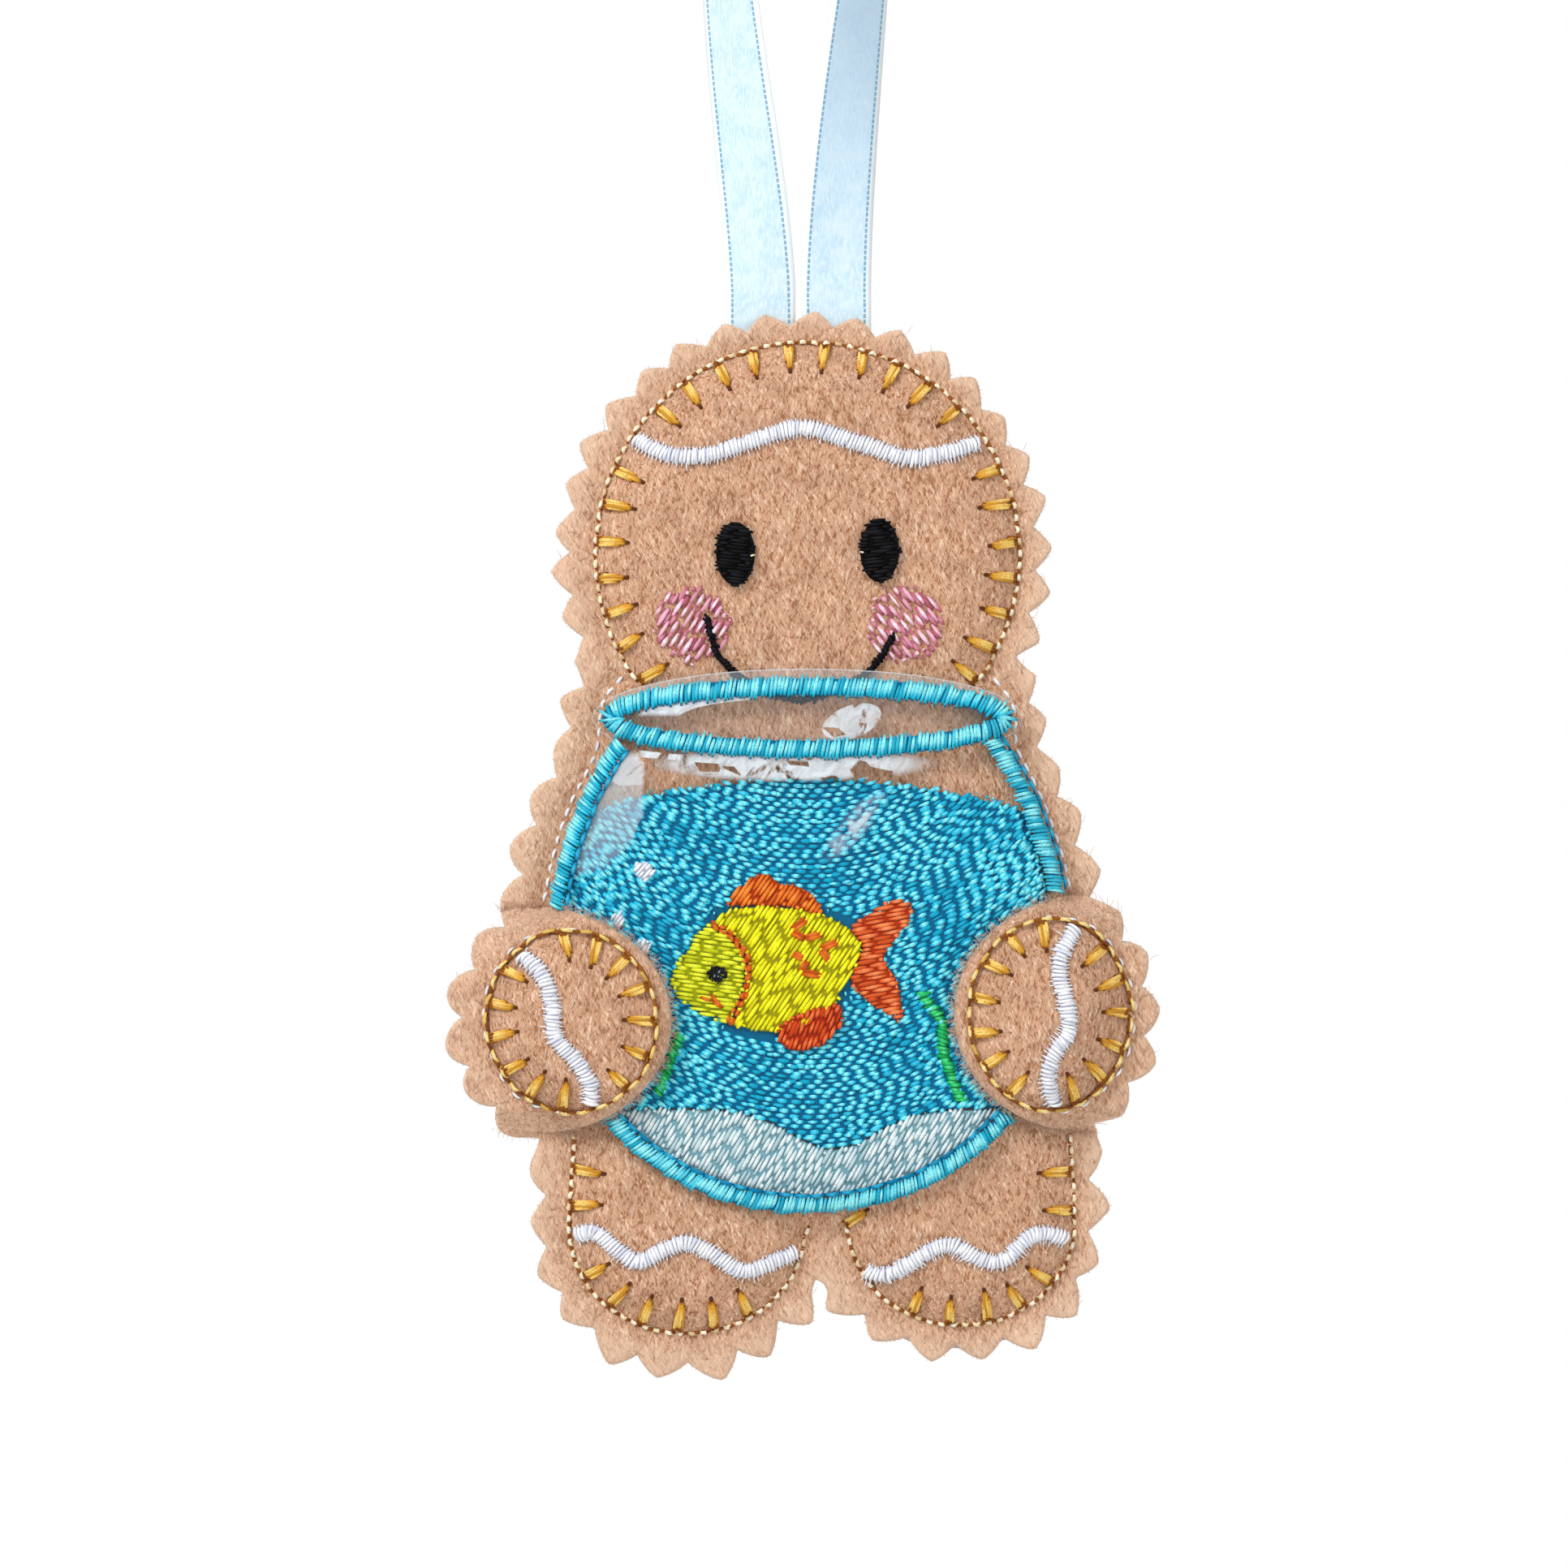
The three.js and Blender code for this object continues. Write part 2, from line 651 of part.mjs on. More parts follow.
const feltLoops = [[edge], seamLoops, ...slopeLoops];
add('front_felt', sheet(feltLoops, liftedFrom(crown, frontFeltBack), feltSurface), feltFinish);
const backFace = (x, z) => -backSurface(x, z);
add('back_felt', sheet(feltLoops, backFace, liftedFrom(backFace, feltThickness)), feltFinish);
const stabiliserEdge = evenLoops(cutDistance, edgeMargin - toothDepth - fit, outlineStep);
add('stabiliser', sheet([stabiliserEdge], level(stabiliserBack), level(frontFeltBack)), waddingFinish);
const waddingTop = liftedFrom(crown, frontFeltBack - fit);
add('wadding', sheet(slopeLoops, level(frontFeltBack), waddingTop), waddingFinish);

// Fill stitching in the bowl
const fillLoops = (field) => fillShares.map((share) => evenLoops(field, -share * crownSlope, outlineStep));
const fillTop = liftedFrom(feltSurface, fillLift + fillHeight);
add('water', sheet(fillLoops(waterDistance), threadGround, fillTop), threads.water);
add('sand', sheet([evenLoops(sandDistance, 0, bandStep)], threadGround, fillTop), threads.sand);

// Fish: the face, the body behind its gills, and the fins, each a fill of its own
const gill = smoothLine(onFish(gillShares), smallStep);
const behindGill = gill.map((point) => point.clone().add(new THREE.Vector2(fit, 0)));
const fishLevel = plateau + fishLift;
const face = smoothLine([gill[gill.length - 1], ...onFish(fishFaceShares), gill[0]], smallStep);
const backEnd = behindGill[behindGill.length - 1];
const back = smoothLine([behindGill[0], ...onFish(fishBackShares), backEnd], smallStep);
const bodyOutline = [...back, ...behindGill.slice(1, -1).reverse()];
add('fish_head', flatFill([...gill, ...face.slice(1, -1)], fishLevel, fishHeight), threads.lime);
add('fish_body', flatFill(bodyOutline, fishLevel, fishHeight), threads.yellow);
add('dorsal_fin', flatFill(onFish(dorsalShares), fishLevel, fishHeight), threads.orange);
add('tail_fin', flatFill(onFish(tailShares), fishLevel, fishHeight), threads.orange);
add('belly_fin', flatFill(onFish(bellyShares), fishLevel, fishHeight), threads.orange);
const markGround = level(plateau + markLift);
add('fish_gill', band(gill.slice(1, -1), seamWidth, markHeight, markGround), threads.orange);
const scaleWidth = seamWidth * scaleWidthShare;
add('fish_scales', band(onFish(scaleShares), scaleWidth, markHeight, markGround), threads.orange);
const [fishEye] = onFish([fishEyeShares]);
const pupil = ellipseLoop(fishEye.x, fishEye.y, fishEyeRadius, fishEyeRadius, tinyStep);
add('fish_eye', flatFill(pupil, plateau + markLift, markHeight), threads.black);

// Bubbles and seaweed
sharesOf(bubbleShares, bowl.x, bowl.z, bowl.halfWidth, bowl.rise).forEach((centre, i) => {
  const radius = i === 0 ? bubbleRadius : smallBubbleRadius;
  const outline = ellipseLoop(centre.x, centre.y, radius, radius, tinyStep);
  add(`bubble_${i + 1}`, flatFill(outline, fishLevel, fishHeight), threads.white);
});
for (const [shares, name] of [[leftSeaweedShares, 'seaweed_left'], [rightSeaweedShares, 'seaweed_right']]) {
  const stem = smoothLine(onEgg(shares, bowl), bandStep);
  add(name, band(stem, seaweedWidth, fishHeight, level(fishLevel)), threads.green);
}

// Vinyl window
const vinylInsets = [0, vinylEdgeWidth / 2, vinylEdgeWidth, crownSlope * vinylShare];
const vinylLoops = vinylInsets.map((inset) => evenLoops(vinylDistance, -inset, outlineStep));
add('vinyl_window', sheet(vinylLoops, vinylUnderside, vinylSurface), vinylFinish);

// Satin outline of the bowl
const rimLoop = ellipseLoop(rim.x, rim.z, rim.halfWidth, rim.rise, bandStep);
add('bowl_rim', band(rimLoop, bandWidth, bandHeight, bandGround, { closed: true }), threads.turquoise);
const patchClearance = bandWidth / 2 + fit;
const bowlLoop = evenLoops((x, z) => eggDistance(x, z, bowl), 0, bandStep)[0];
const rimClear = (point) => eggDistance(point.x, point.y, rim) > bandWidth + fit;
const isBowlEdge = (point) => patchDistance(point.x, point.y) > patchClearance
  && point.y < neckHeight && (point.y < bowl.z || rimClear(point));

// Unbroken runs of a loop that pass a test, each with the centre of its points
function runsOf(loop, passes) {
  const start = loop.findIndex((point, i) => !passes(point) && passes(loop[(i + 1) % loop.length]));
  const turned = [...loop.slice(start + 1), ...loop.slice(0, start + 1)];
  const runs = [];
  let run = [];
  for (const point of turned) {
    if (passes(point)) {
      run.push(point);
    } else if (run.length > 0) {
      runs.push(run);
      run = [];
    }
  }
  if (run.length > 0) runs.push(run);
  return runs.filter((points) => points.length > 2);
}

const middleOf = (run) => run[Math.floor(run.length / 2)];
for (const run of runsOf(bowlLoop, isBowlEdge)) {
  const middle = middleOf(run);
  const sideName = middle.x < 0 ? 'bowl_side_left' : 'bowl_side_right';
  const name = middle.y < bowl.z - bowl.drop / 2 ? 'bowl_base' : sideName;
  add(name, band(run, bandWidth, bandHeight, bandGround), threads.turquoise);
}

// Face
for (const [side, name] of [[-1, 'eye_left'], [1, 'eye_right']]) {
  const outline = ellipseLoop(side * eyeSpread, headHeight, eyeHalfWidth, eyeHalfHeight, tinyStep);
  add(name, flatFill(outline, plateau + fillLift, fillHeight), threads.black);
}
for (const [x, name] of [[leftCheekX, 'cheek_left'], [rightCheekX, 'cheek_right']]) {
  const outline = ellipseLoop(x, cheekHeight, cheekRadius, cheekRadius, smallStep);
  add(name, flatFill(outline, plateau + fillLift, fillHeight), threads.pink);
}
const smile = smoothLine(onHead(smileShares), bandStep);
add('smile', band(smile, smileWidth, seamHeight, level(plateau + smileLift)), threads.black);

// Icing waves on the felt
const waves = {
  forehead_icing: onHead(foreheadShares),
  left_foot_icing: onEgg(leftFootWaveShares, leftLeg),
  right_foot_icing: onEgg(rightFootWaveShares, rightLeg),
};
const endClearance = seamWidth / 2 + fit * 4;
const icingLines = Object.entries(waves).map(([name, points]) => {
  const line = smoothLine(points, bandStep / 2)
    .filter((point) => seamDistance(point.x, point.y) < -endClearance);
  const even = resample(line, Math.round(lineLength(line, false) / bandStep) + 1, false);
  add(name, band(even, icingWidth, icingHeight, threadGround), threads.white);
  return even;
});

// Hand patches with their seams and icing
function handPatch(side, hand, waveShares) {
  const patch = patchEgg(hand);
  const loops = patchShares.map((share) =>
    [ellipseLoop(patch.x, patch.z, patch.halfWidth * share, patch.rise * share, patchStep)]);
  const patchTop = liftedFrom(patchUnderside, feltThickness);
  add(`${side}_hand_felt`, sheet(loops, patchUnderside, patchTop), feltFinish);
  const seamLoop = ellipseLoop(hand.x, hand.z, hand.halfWidth, hand.rise, bandStep);
  const wave = smoothLine(onEgg(waveShares, hand), bandStep / 2)
    .filter((point) => eggDistance(point.x, point.y, hand) < -endClearance);
  const ring = band(seamLoop, seamWidth, seamHeight, patchGround, { closed: true });
  const ticks = ticksAlong(seamLoop, (x, z) => eggDistance(x, z, hand), patchGround, [wave], () => true);
  add(`${side}_hand_seam`, joined([ring, ...ticks]), threads.gold);
  const even = resample(wave, Math.round(lineLength(wave, false) / bandStep) + 1, false);
  add(`${side}_hand_icing`, band(even, icingWidth, icingHeight, patchGround), threads.white);
}

// Blanket ticks that point inwards from a seam, left out where icing covers them
function ticksAlong(line, field, ground, icings, isClear) {
  const closed = line[0].distanceTo(line[line.length - 1]) < bandStep * 2;
  const count = Math.round(lineLength(line, closed) / tickPitch);
  const starts = resample(line, closed ? count : count + 1, closed);
  const clearance = icingWidth / 2 + tickWidth / 2 + fit;
  const nearIcing = (point) =>
    icings.some((icing) => icing.some((other) => other.distanceTo(point) < clearance));
  return starts.flatMap((start) => {
    const inward = outwardNormal(field, start).negate();
    const points = [0, 0.5, 1].map((share) => start.clone().addScaledVector(inward, tickLength * share));
    if (points.some(nearIcing) || !points.every((point) => isClear(point))) return [];
    const tip = { endWidth: tickWidth * tickTipShare };
    return [band(points, tickWidth, seamHeight * tickHeightShare, ground, tip)];
  });
}

handPatch('left', leftHand, leftHandWaveShares);
handPatch('right', rightHand, rightHandWaveShares);

// Outline seam on the front, in the runs between the patches, the vinyl and the bowl's satin
function seamRun(name, owners, colour, withTicks) {
  const patchGap = seamWidth / 2 + fit;
  const passes = (point) => {
    const distances = limbDistances(point.x, point.y, perimeterReach);
    const nearest = Object.keys(distances).reduce((a, b) => (distances[a] <= distances[b] ? a : b));
    return owners.includes(nearest) && patchDistance(point.x, point.y) > patchGap
      && (name.includes('leg') || point.y > bowl.z);
  };
  const side = name.startsWith('right') ? 1 : -1;
  const runs = runsOf(longest(seamLoops), passes);
  const onSide = (points) => name.startsWith('head') || middleOf(points).x * side > 0;
  const line = longest(runs.filter(onSide)).slice(1, -1);
  const isClear = (point) => vinylDistance(point.x, point.y) > bandWidth
    && patchDistance(point.x, point.y) > tickWidth;
  const ticks = withTicks ? ticksAlong(line, seamDistance, threadGround, icingLines, isClear) : [];
  add(name, joined([band(line, seamWidth, seamHeight, threadGround), ...ticks]), colour);
}

seamRun('head_seam', ['head'], threads.gold, true);
seamRun('left_side_seam', ['bowl', 'rim'], threads.white, false);
seamRun('right_side_seam', ['bowl', 'rim'], threads.white, false);
seamRun('left_leg_seam', ['leftLeg'], threads.gold, true);
seamRun('right_leg_seam', ['rightLeg'], threads.gold, true);
const backGround = liftedFrom(backSurface, fit);
const backSeam = band(longest(seamLoops), seamWidth, seamHeight, backGround, { closed: true, side: 1 });
add('back_seam', backSeam, threads.white);

// Ribbon: the free loop, and the two ends sewn in between the felts
const route = new THREE.CatmullRomCurve3(
  ribbonRoute.map(([x, z]) => new THREE.Vector3(x, 0, hingeHeight + z)), false, 'centripetal');

function ribbonRing(share) {
  const centre = route.getPointAt(share);
  const along = share === 0 ? new THREE.Vector3(0, 0, 1)
    : share === 1 ? new THREE.Vector3(0, 0, -1) : route.getTangentAt(share);
  const outward = new THREE.Vector3(-along.z, 0, along.x);
  const twist = topTwist * (1 - Math.abs(2 * share - 1)) ** twistPower;
  const backward = new THREE.Vector3(0, 1, 0);
  const wide = outward.clone().multiplyScalar(-Math.cos(twist)).addScaledVector(backward, -Math.sin(twist));
  const thick = outward.clone().multiplyScalar(Math.sin(twist)).addScaledVector(backward, -Math.cos(twist));
  return [[-1, -1], [1, -1], [1, 1], [-1, 1]].map(([u, v]) => centre.clone()
    .addScaledVector(wide, u * ribbonWidth / 2).addScaledVector(thick, v * ribbonThickness / 2));
}

const loopRings = Array.from({ length: loopSteps + 1 }, (_, i) => ribbonRing(i / loopSteps));
add('ribbon_loop', sweep(loopRings, false), ribbonFinish);

const [leftRoot, rightRoot] = [ribbonRoute[0][0], ribbonRoute[ribbonRoute.length - 1][0]];
const tailTop = hingeHeight - ribbonThickness / 2;
const tailBottom = seamTop - tailDepth;
for (const [x, name] of [[leftRoot, 'ribbon_tail_left'], [rightRoot, 'ribbon_tail_right']]) {
  const geometry = new THREE.BoxGeometry(ribbonWidth, ribbonThickness, tailTop - tailBottom);
  geometry.translate(x, 0, (tailTop + tailBottom) / 2);
  add(name, geometry, ribbonFinish);
}

export default ornament;
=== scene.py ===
"""Felt christmas ornament: a pinked felt figure with embroidery, a vinyl window and a satin ribbon loop."""
import math
import random
from functools import reduce

import bpy
import numpy as np
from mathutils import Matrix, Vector
from mathutils.geometry import delaunay_2d_cdt


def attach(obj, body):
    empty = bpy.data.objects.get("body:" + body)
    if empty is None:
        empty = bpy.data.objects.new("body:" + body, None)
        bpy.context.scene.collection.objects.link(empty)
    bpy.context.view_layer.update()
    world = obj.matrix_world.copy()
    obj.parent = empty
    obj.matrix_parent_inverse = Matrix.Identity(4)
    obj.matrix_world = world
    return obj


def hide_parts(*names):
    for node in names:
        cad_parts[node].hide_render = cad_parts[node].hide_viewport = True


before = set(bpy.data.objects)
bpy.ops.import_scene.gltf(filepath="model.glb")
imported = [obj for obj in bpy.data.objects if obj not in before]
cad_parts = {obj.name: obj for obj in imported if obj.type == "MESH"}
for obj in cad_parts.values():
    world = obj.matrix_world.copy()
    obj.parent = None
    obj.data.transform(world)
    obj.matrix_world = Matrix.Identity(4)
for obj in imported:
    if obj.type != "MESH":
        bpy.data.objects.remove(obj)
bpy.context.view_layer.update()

# Sizes are in millimetres in the figure's own frame: x to the right, z up from the lowest foot stitch
MM = 0.001
LOOP_TOP = 80.5
EDGE_MARGIN = 3.8
CUT_DRIFT = (-0.5, -0.4)
ROOT_GAP = 0.7
RIBBON_THICKNESS = 0.3
RIBBON_WIDTH = 7.0

HEAD_RADIUS = 21.2
HEAD_HEIGHT = 78.0
FELT_THICKNESS = 1.2
STABILISER_THICKNESS = 0.3
FIT = 0.3
CROWN_HEIGHT = 1.8
BACK_CROWN_HEIGHT = 0.9
CROWN_SLOPE = 6.0
LIMB_BLEND = 2.5
TOOTH_PITCH = 4.5
LOBE_PITCH = 5.3
TOOTH_DEPTH = 1.65
PERIMETER_GAP = 0.4
PATCH_ALLOWANCE = 1.45
PATCH_SHIFT = 4.0
PATCH_HEADROOM = 2.3
HAND_CROWN = 0.5
BAND_WIDTH = 2.0
SEAM_WIDTH = 0.8

HINGE_HEIGHT = HEAD_HEIGHT + HEAD_RADIUS + EDGE_MARGIN + CUT_DRIFT[1] + ROOT_GAP
FIGURE_DROP = RIBBON_THICKNESS / 2 - HINGE_HEIGHT - LOOP_TOP


class Egg:
    """An oval that may reach further down than up."""

    def __init__(self, x, z, half_width, rise, drop):
        self.x, self.z, self.half_width, self.rise, self.drop = x, z, half_width, rise, drop


LEFT_HAND = Egg(-23.5, 31.4, 8.5, 9.1, 9.1)
RIGHT_HAND = Egg(24.1, 32.1, 8.1, 9.6, 9.6)
LEFT_LEG = Egg(-12.1, 10.2, 11.7, 30.0, 10.2)
RIGHT_LEG = Egg(15.4, 10.9, 11.3, 30.0, 10.1)
BOWL = Egg(0.0, 36.9, 25.5, 32.5, 24.0)
RIM = Egg(0.0, 61.6, 19.8, 3.1, 3.1)
FISH = Egg(-4.1, 36.5, 9.6, 6.4, 6.4)
NECK_HEIGHT = RIM.z - RIM.drop / 2
WATER_HEIGHT, WATER_SAG = 55.6, 2.5
SAND_HEIGHT, SAND_HOLLOW = 22.6, 4.0
SAND_HOLLOW_PLACE, SAND_HOLLOW_WIDTH = 2.6, 6.0

# Where each layer starts, measured from the seam plane towards the viewer
FELT_BACK = RIBBON_THICKNESS / 2 + STABILISER_THICKNESS
FELT_FRONT = FELT_BACK + FELT_THICKNESS
BACK_FELT_NEAR = RIBBON_THICKNESS / 2
BACK_FELT_FAR = BACK_FELT_NEAR + FELT_THICKNESS
FILL_LIFT = 0.3
FISH_LIFT = 0.65
MARK_LIFT = 1.05
VINYL_LIFT = 1.45
VINYL_EDGE_LIFT = 0.6
VINYL_TOP_LIFT = 1.15
VINYL_EDGE_WIDTH = 2.5
VINYL_THICKNESS = 0.3
PATCH_LIFT = VINYL_LIFT + VINYL_THICKNESS + FIT
PATCH_FALL = 4.5


# Distance fields: how far a place lies from an edge, negative inside it

def egg_distance(x, z, egg):
    """About how far a place lies from the edge of an oval."""
    up = z - egg.z
    reach = np.where(up > 0, egg.rise, egg.drop)
    u, v = (x - egg.x) / egg.half_width, up / reach
    radius = np.hypot(u, v)
    steepness = np.maximum(np.hypot(u / egg.half_width, v / reach), 1e-9)
    return np.maximum(radius * (radius - 1) / steepness, -np.minimum(egg.half_width, reach))


def slot_distance(x, z, egg):
    """The same for a slot with round ends, as wide and as high as the oval."""
    straight = egg.half_width - egg.rise
    return np.hypot(np.maximum(np.abs(x - egg.x) - straight, 0), z - egg.z) - egg.rise


def smooth_union(a, b):
    """Joins two fields with a fillet in the corner between them."""
    share = np.maximum(LIMB_BLEND - np.abs(a - b), 0) / LIMB_BLEND
    return np.minimum(a, b) - share * share * LIMB_BLEND / 4


def limb_distances(x, z, hand_reach):
    """The seam's distance to each limb; the hands swell by a reach of their own."""
    return {
        "head": np.hypot(x, z - HEAD_HEIGHT) - HEAD_RADIUS,
        "rim": slot_distance(x, z, RIM) - BAND_WIDTH / 2,
        "bowl": egg_distance(x, z, BOWL) - BAND_WIDTH / 2 - PERIMETER_GAP,
        "left_hand": egg_distance(x, z, LEFT_HAND) - hand_reach,
        "right_hand": egg_distance(x, z, RIGHT_HAND) - hand_reach,
        "left_leg": egg_distance(x, z, LEFT_LEG),
        "right_leg": egg_distance(x, z, RIGHT_LEG),
    }


def joined_limbs(x, z, hand_reach):
    first, *others = limb_distances(x, z, hand_reach).values()
    for other in others:
        first = smooth_union(first, other)
    return first


def seam_distance(x, z):
    """How far a place lies outside the seam that joins the two felts."""
    return joined_limbs(x, z, SEAM_WIDTH + FIT)


def cut_distance(x, z):
    """The field that the cut edge follows, a little off the seam's, as hand cutting leaves it."""
    return joined_limbs(x - CUT_DRIFT[0], z - CUT_DRIFT[1], 0)


def vinyl_distance(x, z):
    """The film's outline: the bowl below, and an oval round the rim above."""
    reach = BAND_WIDTH / 2 + PERIMETER_GAP * 2
    mouth = Egg(RIM.x, RIM.z, RIM.half_width + reach, RIM.rise + reach, RIM.drop + reach)
    window = np.maximum(egg_distance(x, z, BOWL) - BAND_WIDTH / 4, z - RIM.z - RIM.rise)
    return np.minimum(window, egg_distance(x, z, mouth))


def bowl_inside(x, z):
    return egg_distance(x, z, BOWL) + BAND_WIDTH / 2 + FIT


def water_surface(x):
    """The water stands highest in the middle of the bowl."""
    return WATER_HEIGHT - WATER_SAG * (x / RIM.half_width) ** 2


def sand_surface(x):
    """The sand has one hollow, a little to the right of the middle."""
    return SAND_HEIGHT - SAND_HOLLOW * np.exp(-((x - SAND_HOLLOW_PLACE) / SAND_HOLLOW_WIDTH) ** 2)


def patch_egg(hand):
    """Close to the seam on the bowl side, and well past the cut edge on the outer side."""
    outward = math.copysign(1, hand.x)
    return Egg(hand.x + outward * PATCH_SHIFT, hand.z, hand.half_width + PATCH_ALLOWANCE + PATCH_SHIFT,
               hand.rise + PATCH_HEADROOM, hand.drop + PATCH_HEADROOM)


LEFT_PATCH, RIGHT_PATCH = patch_egg(LEFT_HAND), patch_egg(RIGHT_HAND)


def patch_distance(x, z):
    return np.minimum(egg_distance(x, z, LEFT_PATCH), egg_distance(x, z, RIGHT_PATCH))


# Surfaces: how far the top of a layer stands from the seam plane, towards the viewer

def ramp(value, start, end):
    return np.clip((value - start) / (end - start), 0, 1)


def blend(a, b, share):
    return a + (b - a) * share


def puff(x, z):
    """The crown that the wadding gives: nothing at the seam, full further in."""
    inset = ramp(-seam_distance(x, z), 0, CROWN_SLOPE)
    return 1 - (1 - inset) ** 2


def felt_surface(x, z):
    return FELT_FRONT + CROWN_HEIGHT * puff(x, z)


def back_surface(x, z):
    return BACK_FELT_FAR + BACK_CROWN_HEIGHT * puff(x, z)


def lifted(surface, lift):
    return lambda x, z: surface(x, z) + lift


def vinyl_underside(x, z):
    """The film clears the fills in the middle and lies lower along its edge."""
    edge_lift = blend(VINYL_EDGE_LIFT, VINYL_TOP_LIFT, ramp(z, NECK_HEIGHT - RIM.drop, RIM.z))
    inset = ramp(-vinyl_distance(x, z), 0, VINYL_EDGE_WIDTH)
    return felt_surface(x, z) + blend(edge_lift, VINYL_LIFT, inset)


def vinyl_surface(x, z):
    return vinyl_underside(x, z) + VINYL_THICKNESS


def band_ground(x, z):
    """What the bowl's satin lies on: the film, and the felt beyond its edge."""
    past = ramp(vinyl_distance(x, z), FIT, FIT + BAND_WIDTH / 2)
    return blend(vinyl_surface(x, z), felt_surface(x, z), past) + FIT


def patch_underside(x, z):
    """A hand patch lies over the film and falls to the felt beyond it."""
    past = ramp(vinyl_distance(x, z), BAND_WIDTH / 2, BAND_WIDTH / 2 + PATCH_FALL)
    crown = np.where(np.asarray(x) < 0, hand_puff(x, z, LEFT_HAND), hand_puff(x, z, RIGHT_HAND))
    return felt_surface(x, z) + blend(PATCH_LIFT, FIT, past) + crown


def hand_puff(x, z, hand):
    return HAND_CROWN * ramp(-egg_distance(x, z, hand), 0, hand.half_width / 2)


def patch_ground(x, z):
    return patch_underside(x, z) + FELT_THICKNESS + FIT


# Lines in the plane

TRACE_STEP = 1.0
TRACE_LEFT = min(LEFT_HAND.x - LEFT_HAND.half_width, -HEAD_RADIUS) - EDGE_MARGIN * 2
TRACE_RIGHT = max(RIGHT_HAND.x + RIGHT_HAND.half_width, HEAD_RADIUS) + EDGE_MARGIN * 2
TRACE_BOTTOM = min(LEFT_LEG.z - LEFT_LEG.drop, RIGHT_LEG.z - RIGHT_LEG.drop) - EDGE_MARGIN * 2
TRACE_TOP = HEAD_HEIGHT + HEAD_RADIUS + EDGE_MARGIN * 2


def level_loops(field, level):
    """Closed loops, counterclockwise, where a field has the given value."""
    columns = math.ceil((TRACE_RIGHT - TRACE_LEFT) / TRACE_STEP)
    rows = math.ceil((TRACE_TOP - TRACE_BOTTOM) / TRACE_STEP)
    xs = TRACE_LEFT + np.arange(columns + 1) * TRACE_STEP
    zs = TRACE_BOTTOM + np.arange(rows + 1) * TRACE_STEP
    values = field(*np.meshgrid(xs, zs, indexing="ij")) - level
    steps = {}
    for i in range(columns):
        for j in range(rows):
            corners = [(i, j), (i + 1, j), (i + 1, j + 1), (i, j + 1)]
            sides = [("h", i, j), ("v", i + 1, j), ("h", i, j + 1), ("v", i, j)]
            inside = [values[corner] < 0 for corner in corners]
            for enter in range(4):
                if not inside[enter] or inside[(enter + 1) % 4]:
                    continue
                leave = (enter - 1) % 4
                while inside[leave] or not inside[(leave + 1) % 4]:
                    leave = (leave - 1) % 4
                (k, m), (p, q) = corners[enter], corners[(enter + 1) % 4]
                share = values[k, m] / (values[k, m] - values[p, q])
                point = (blend(xs[k], xs[p], share), blend(zs[m], zs[q], share))
                steps[sides[enter]] = (point, sides[leave])
    loops = []
    while steps:
        loop, key = [], next(iter(steps))
        while key in steps:
            point, key_next = steps.pop(key)
            loop.append(point)
            key = key_next
        loops.append(np.array(loop))
    return loops


def resample(points, count, closed):
    """Evenly spaced points along a line, with both ends where it is open."""
    points = np.asarray(points, float)
    whole = np.vstack([points, points[:1]]) if closed else points
    passed = np.concatenate([[0], np.cumsum(np.linalg.norm(np.diff(whole, axis=0), axis=1))])
    targets = np.linspace(0, passed[-1], count + 1)[:-1] if closed else np.linspace(0, passed[-1], count)
    return np.column_stack([np.interp(targets, passed, whole[:, k]) for k in range(whole.shape[1])])


def line_length(points, closed=False):
    whole = np.vstack([points, points[:1]]) if closed else points
    return float(np.linalg.norm(np.diff(whole, axis=0), axis=1).sum())


def signed_area(loop):
    following = np.roll(loop, -1, axis=0)
    return float(np.dot(loop[:, 0], following[:, 1]) - np.dot(loop[:, 1], following[:, 0])) / 2


def polygon_area(loop):
    return abs(signed_area(loop))


def even_loop(field, level, step):
    """The longest closed line of a level, with even steps."""
    loop = max(level_loops(field, level), key=len)
    return resample(loop, max(8, round(line_length(loop, True) / step)), True)


def unit(vectors):
    """Directions of length one; those of no length stay as they are."""
    return vectors / np.maximum(np.linalg.norm(vectors, axis=-1), 1e-9)[..., None]


def outward_normals(field, points):
    """The directions in which a field grows at the given points."""
    reach, (x, z) = TRACE_STEP / 4, points.T
    return unit(np.column_stack([field(x + reach, z) - field(x - reach, z),
                                 field(x, z + reach) - field(x, z - reach)]))


def smooth_line(points, step):
    """A smooth line through a few points, as an even row of points."""
    points = np.asarray(points, float)
    ends = np.vstack([2 * points[0] - points[1], points, 2 * points[-1] - points[-2]])
    result = []
    for i in range(len(points) - 1):
        p0, p1, p2, p3 = ends[i:i + 4]
        t1 = np.linalg.norm(p1 - p0) ** 0.5
        t2 = t1 + np.linalg.norm(p2 - p1) ** 0.5
        t3 = t2 + np.linalg.norm(p3 - p2) ** 0.5
        for t in np.linspace(t1, t2, 12, endpoint=False):
            a1 = (t1 - t) / t1 * p0 + t / t1 * p1
            a2 = (t2 - t) / (t2 - t1) * p1 + (t - t1) / (t2 - t1) * p2
            a3 = (t3 - t) / (t3 - t2) * p2 + (t - t2) / (t3 - t2) * p3
            b1 = (t2 - t) / t2 * a1 + t / t2 * a2
            b2 = (t3 - t) / (t3 - t1) * a2 + (t - t1) / (t3 - t1) * a3
            result.append((t2 - t) / (t2 - t1) * b1 + (t - t1) / (t2 - t1) * b2)
    result.append(points[-1])
    result = np.array(result)
    return resample(result, max(2, round(line_length(result) / step)) + 1, False)


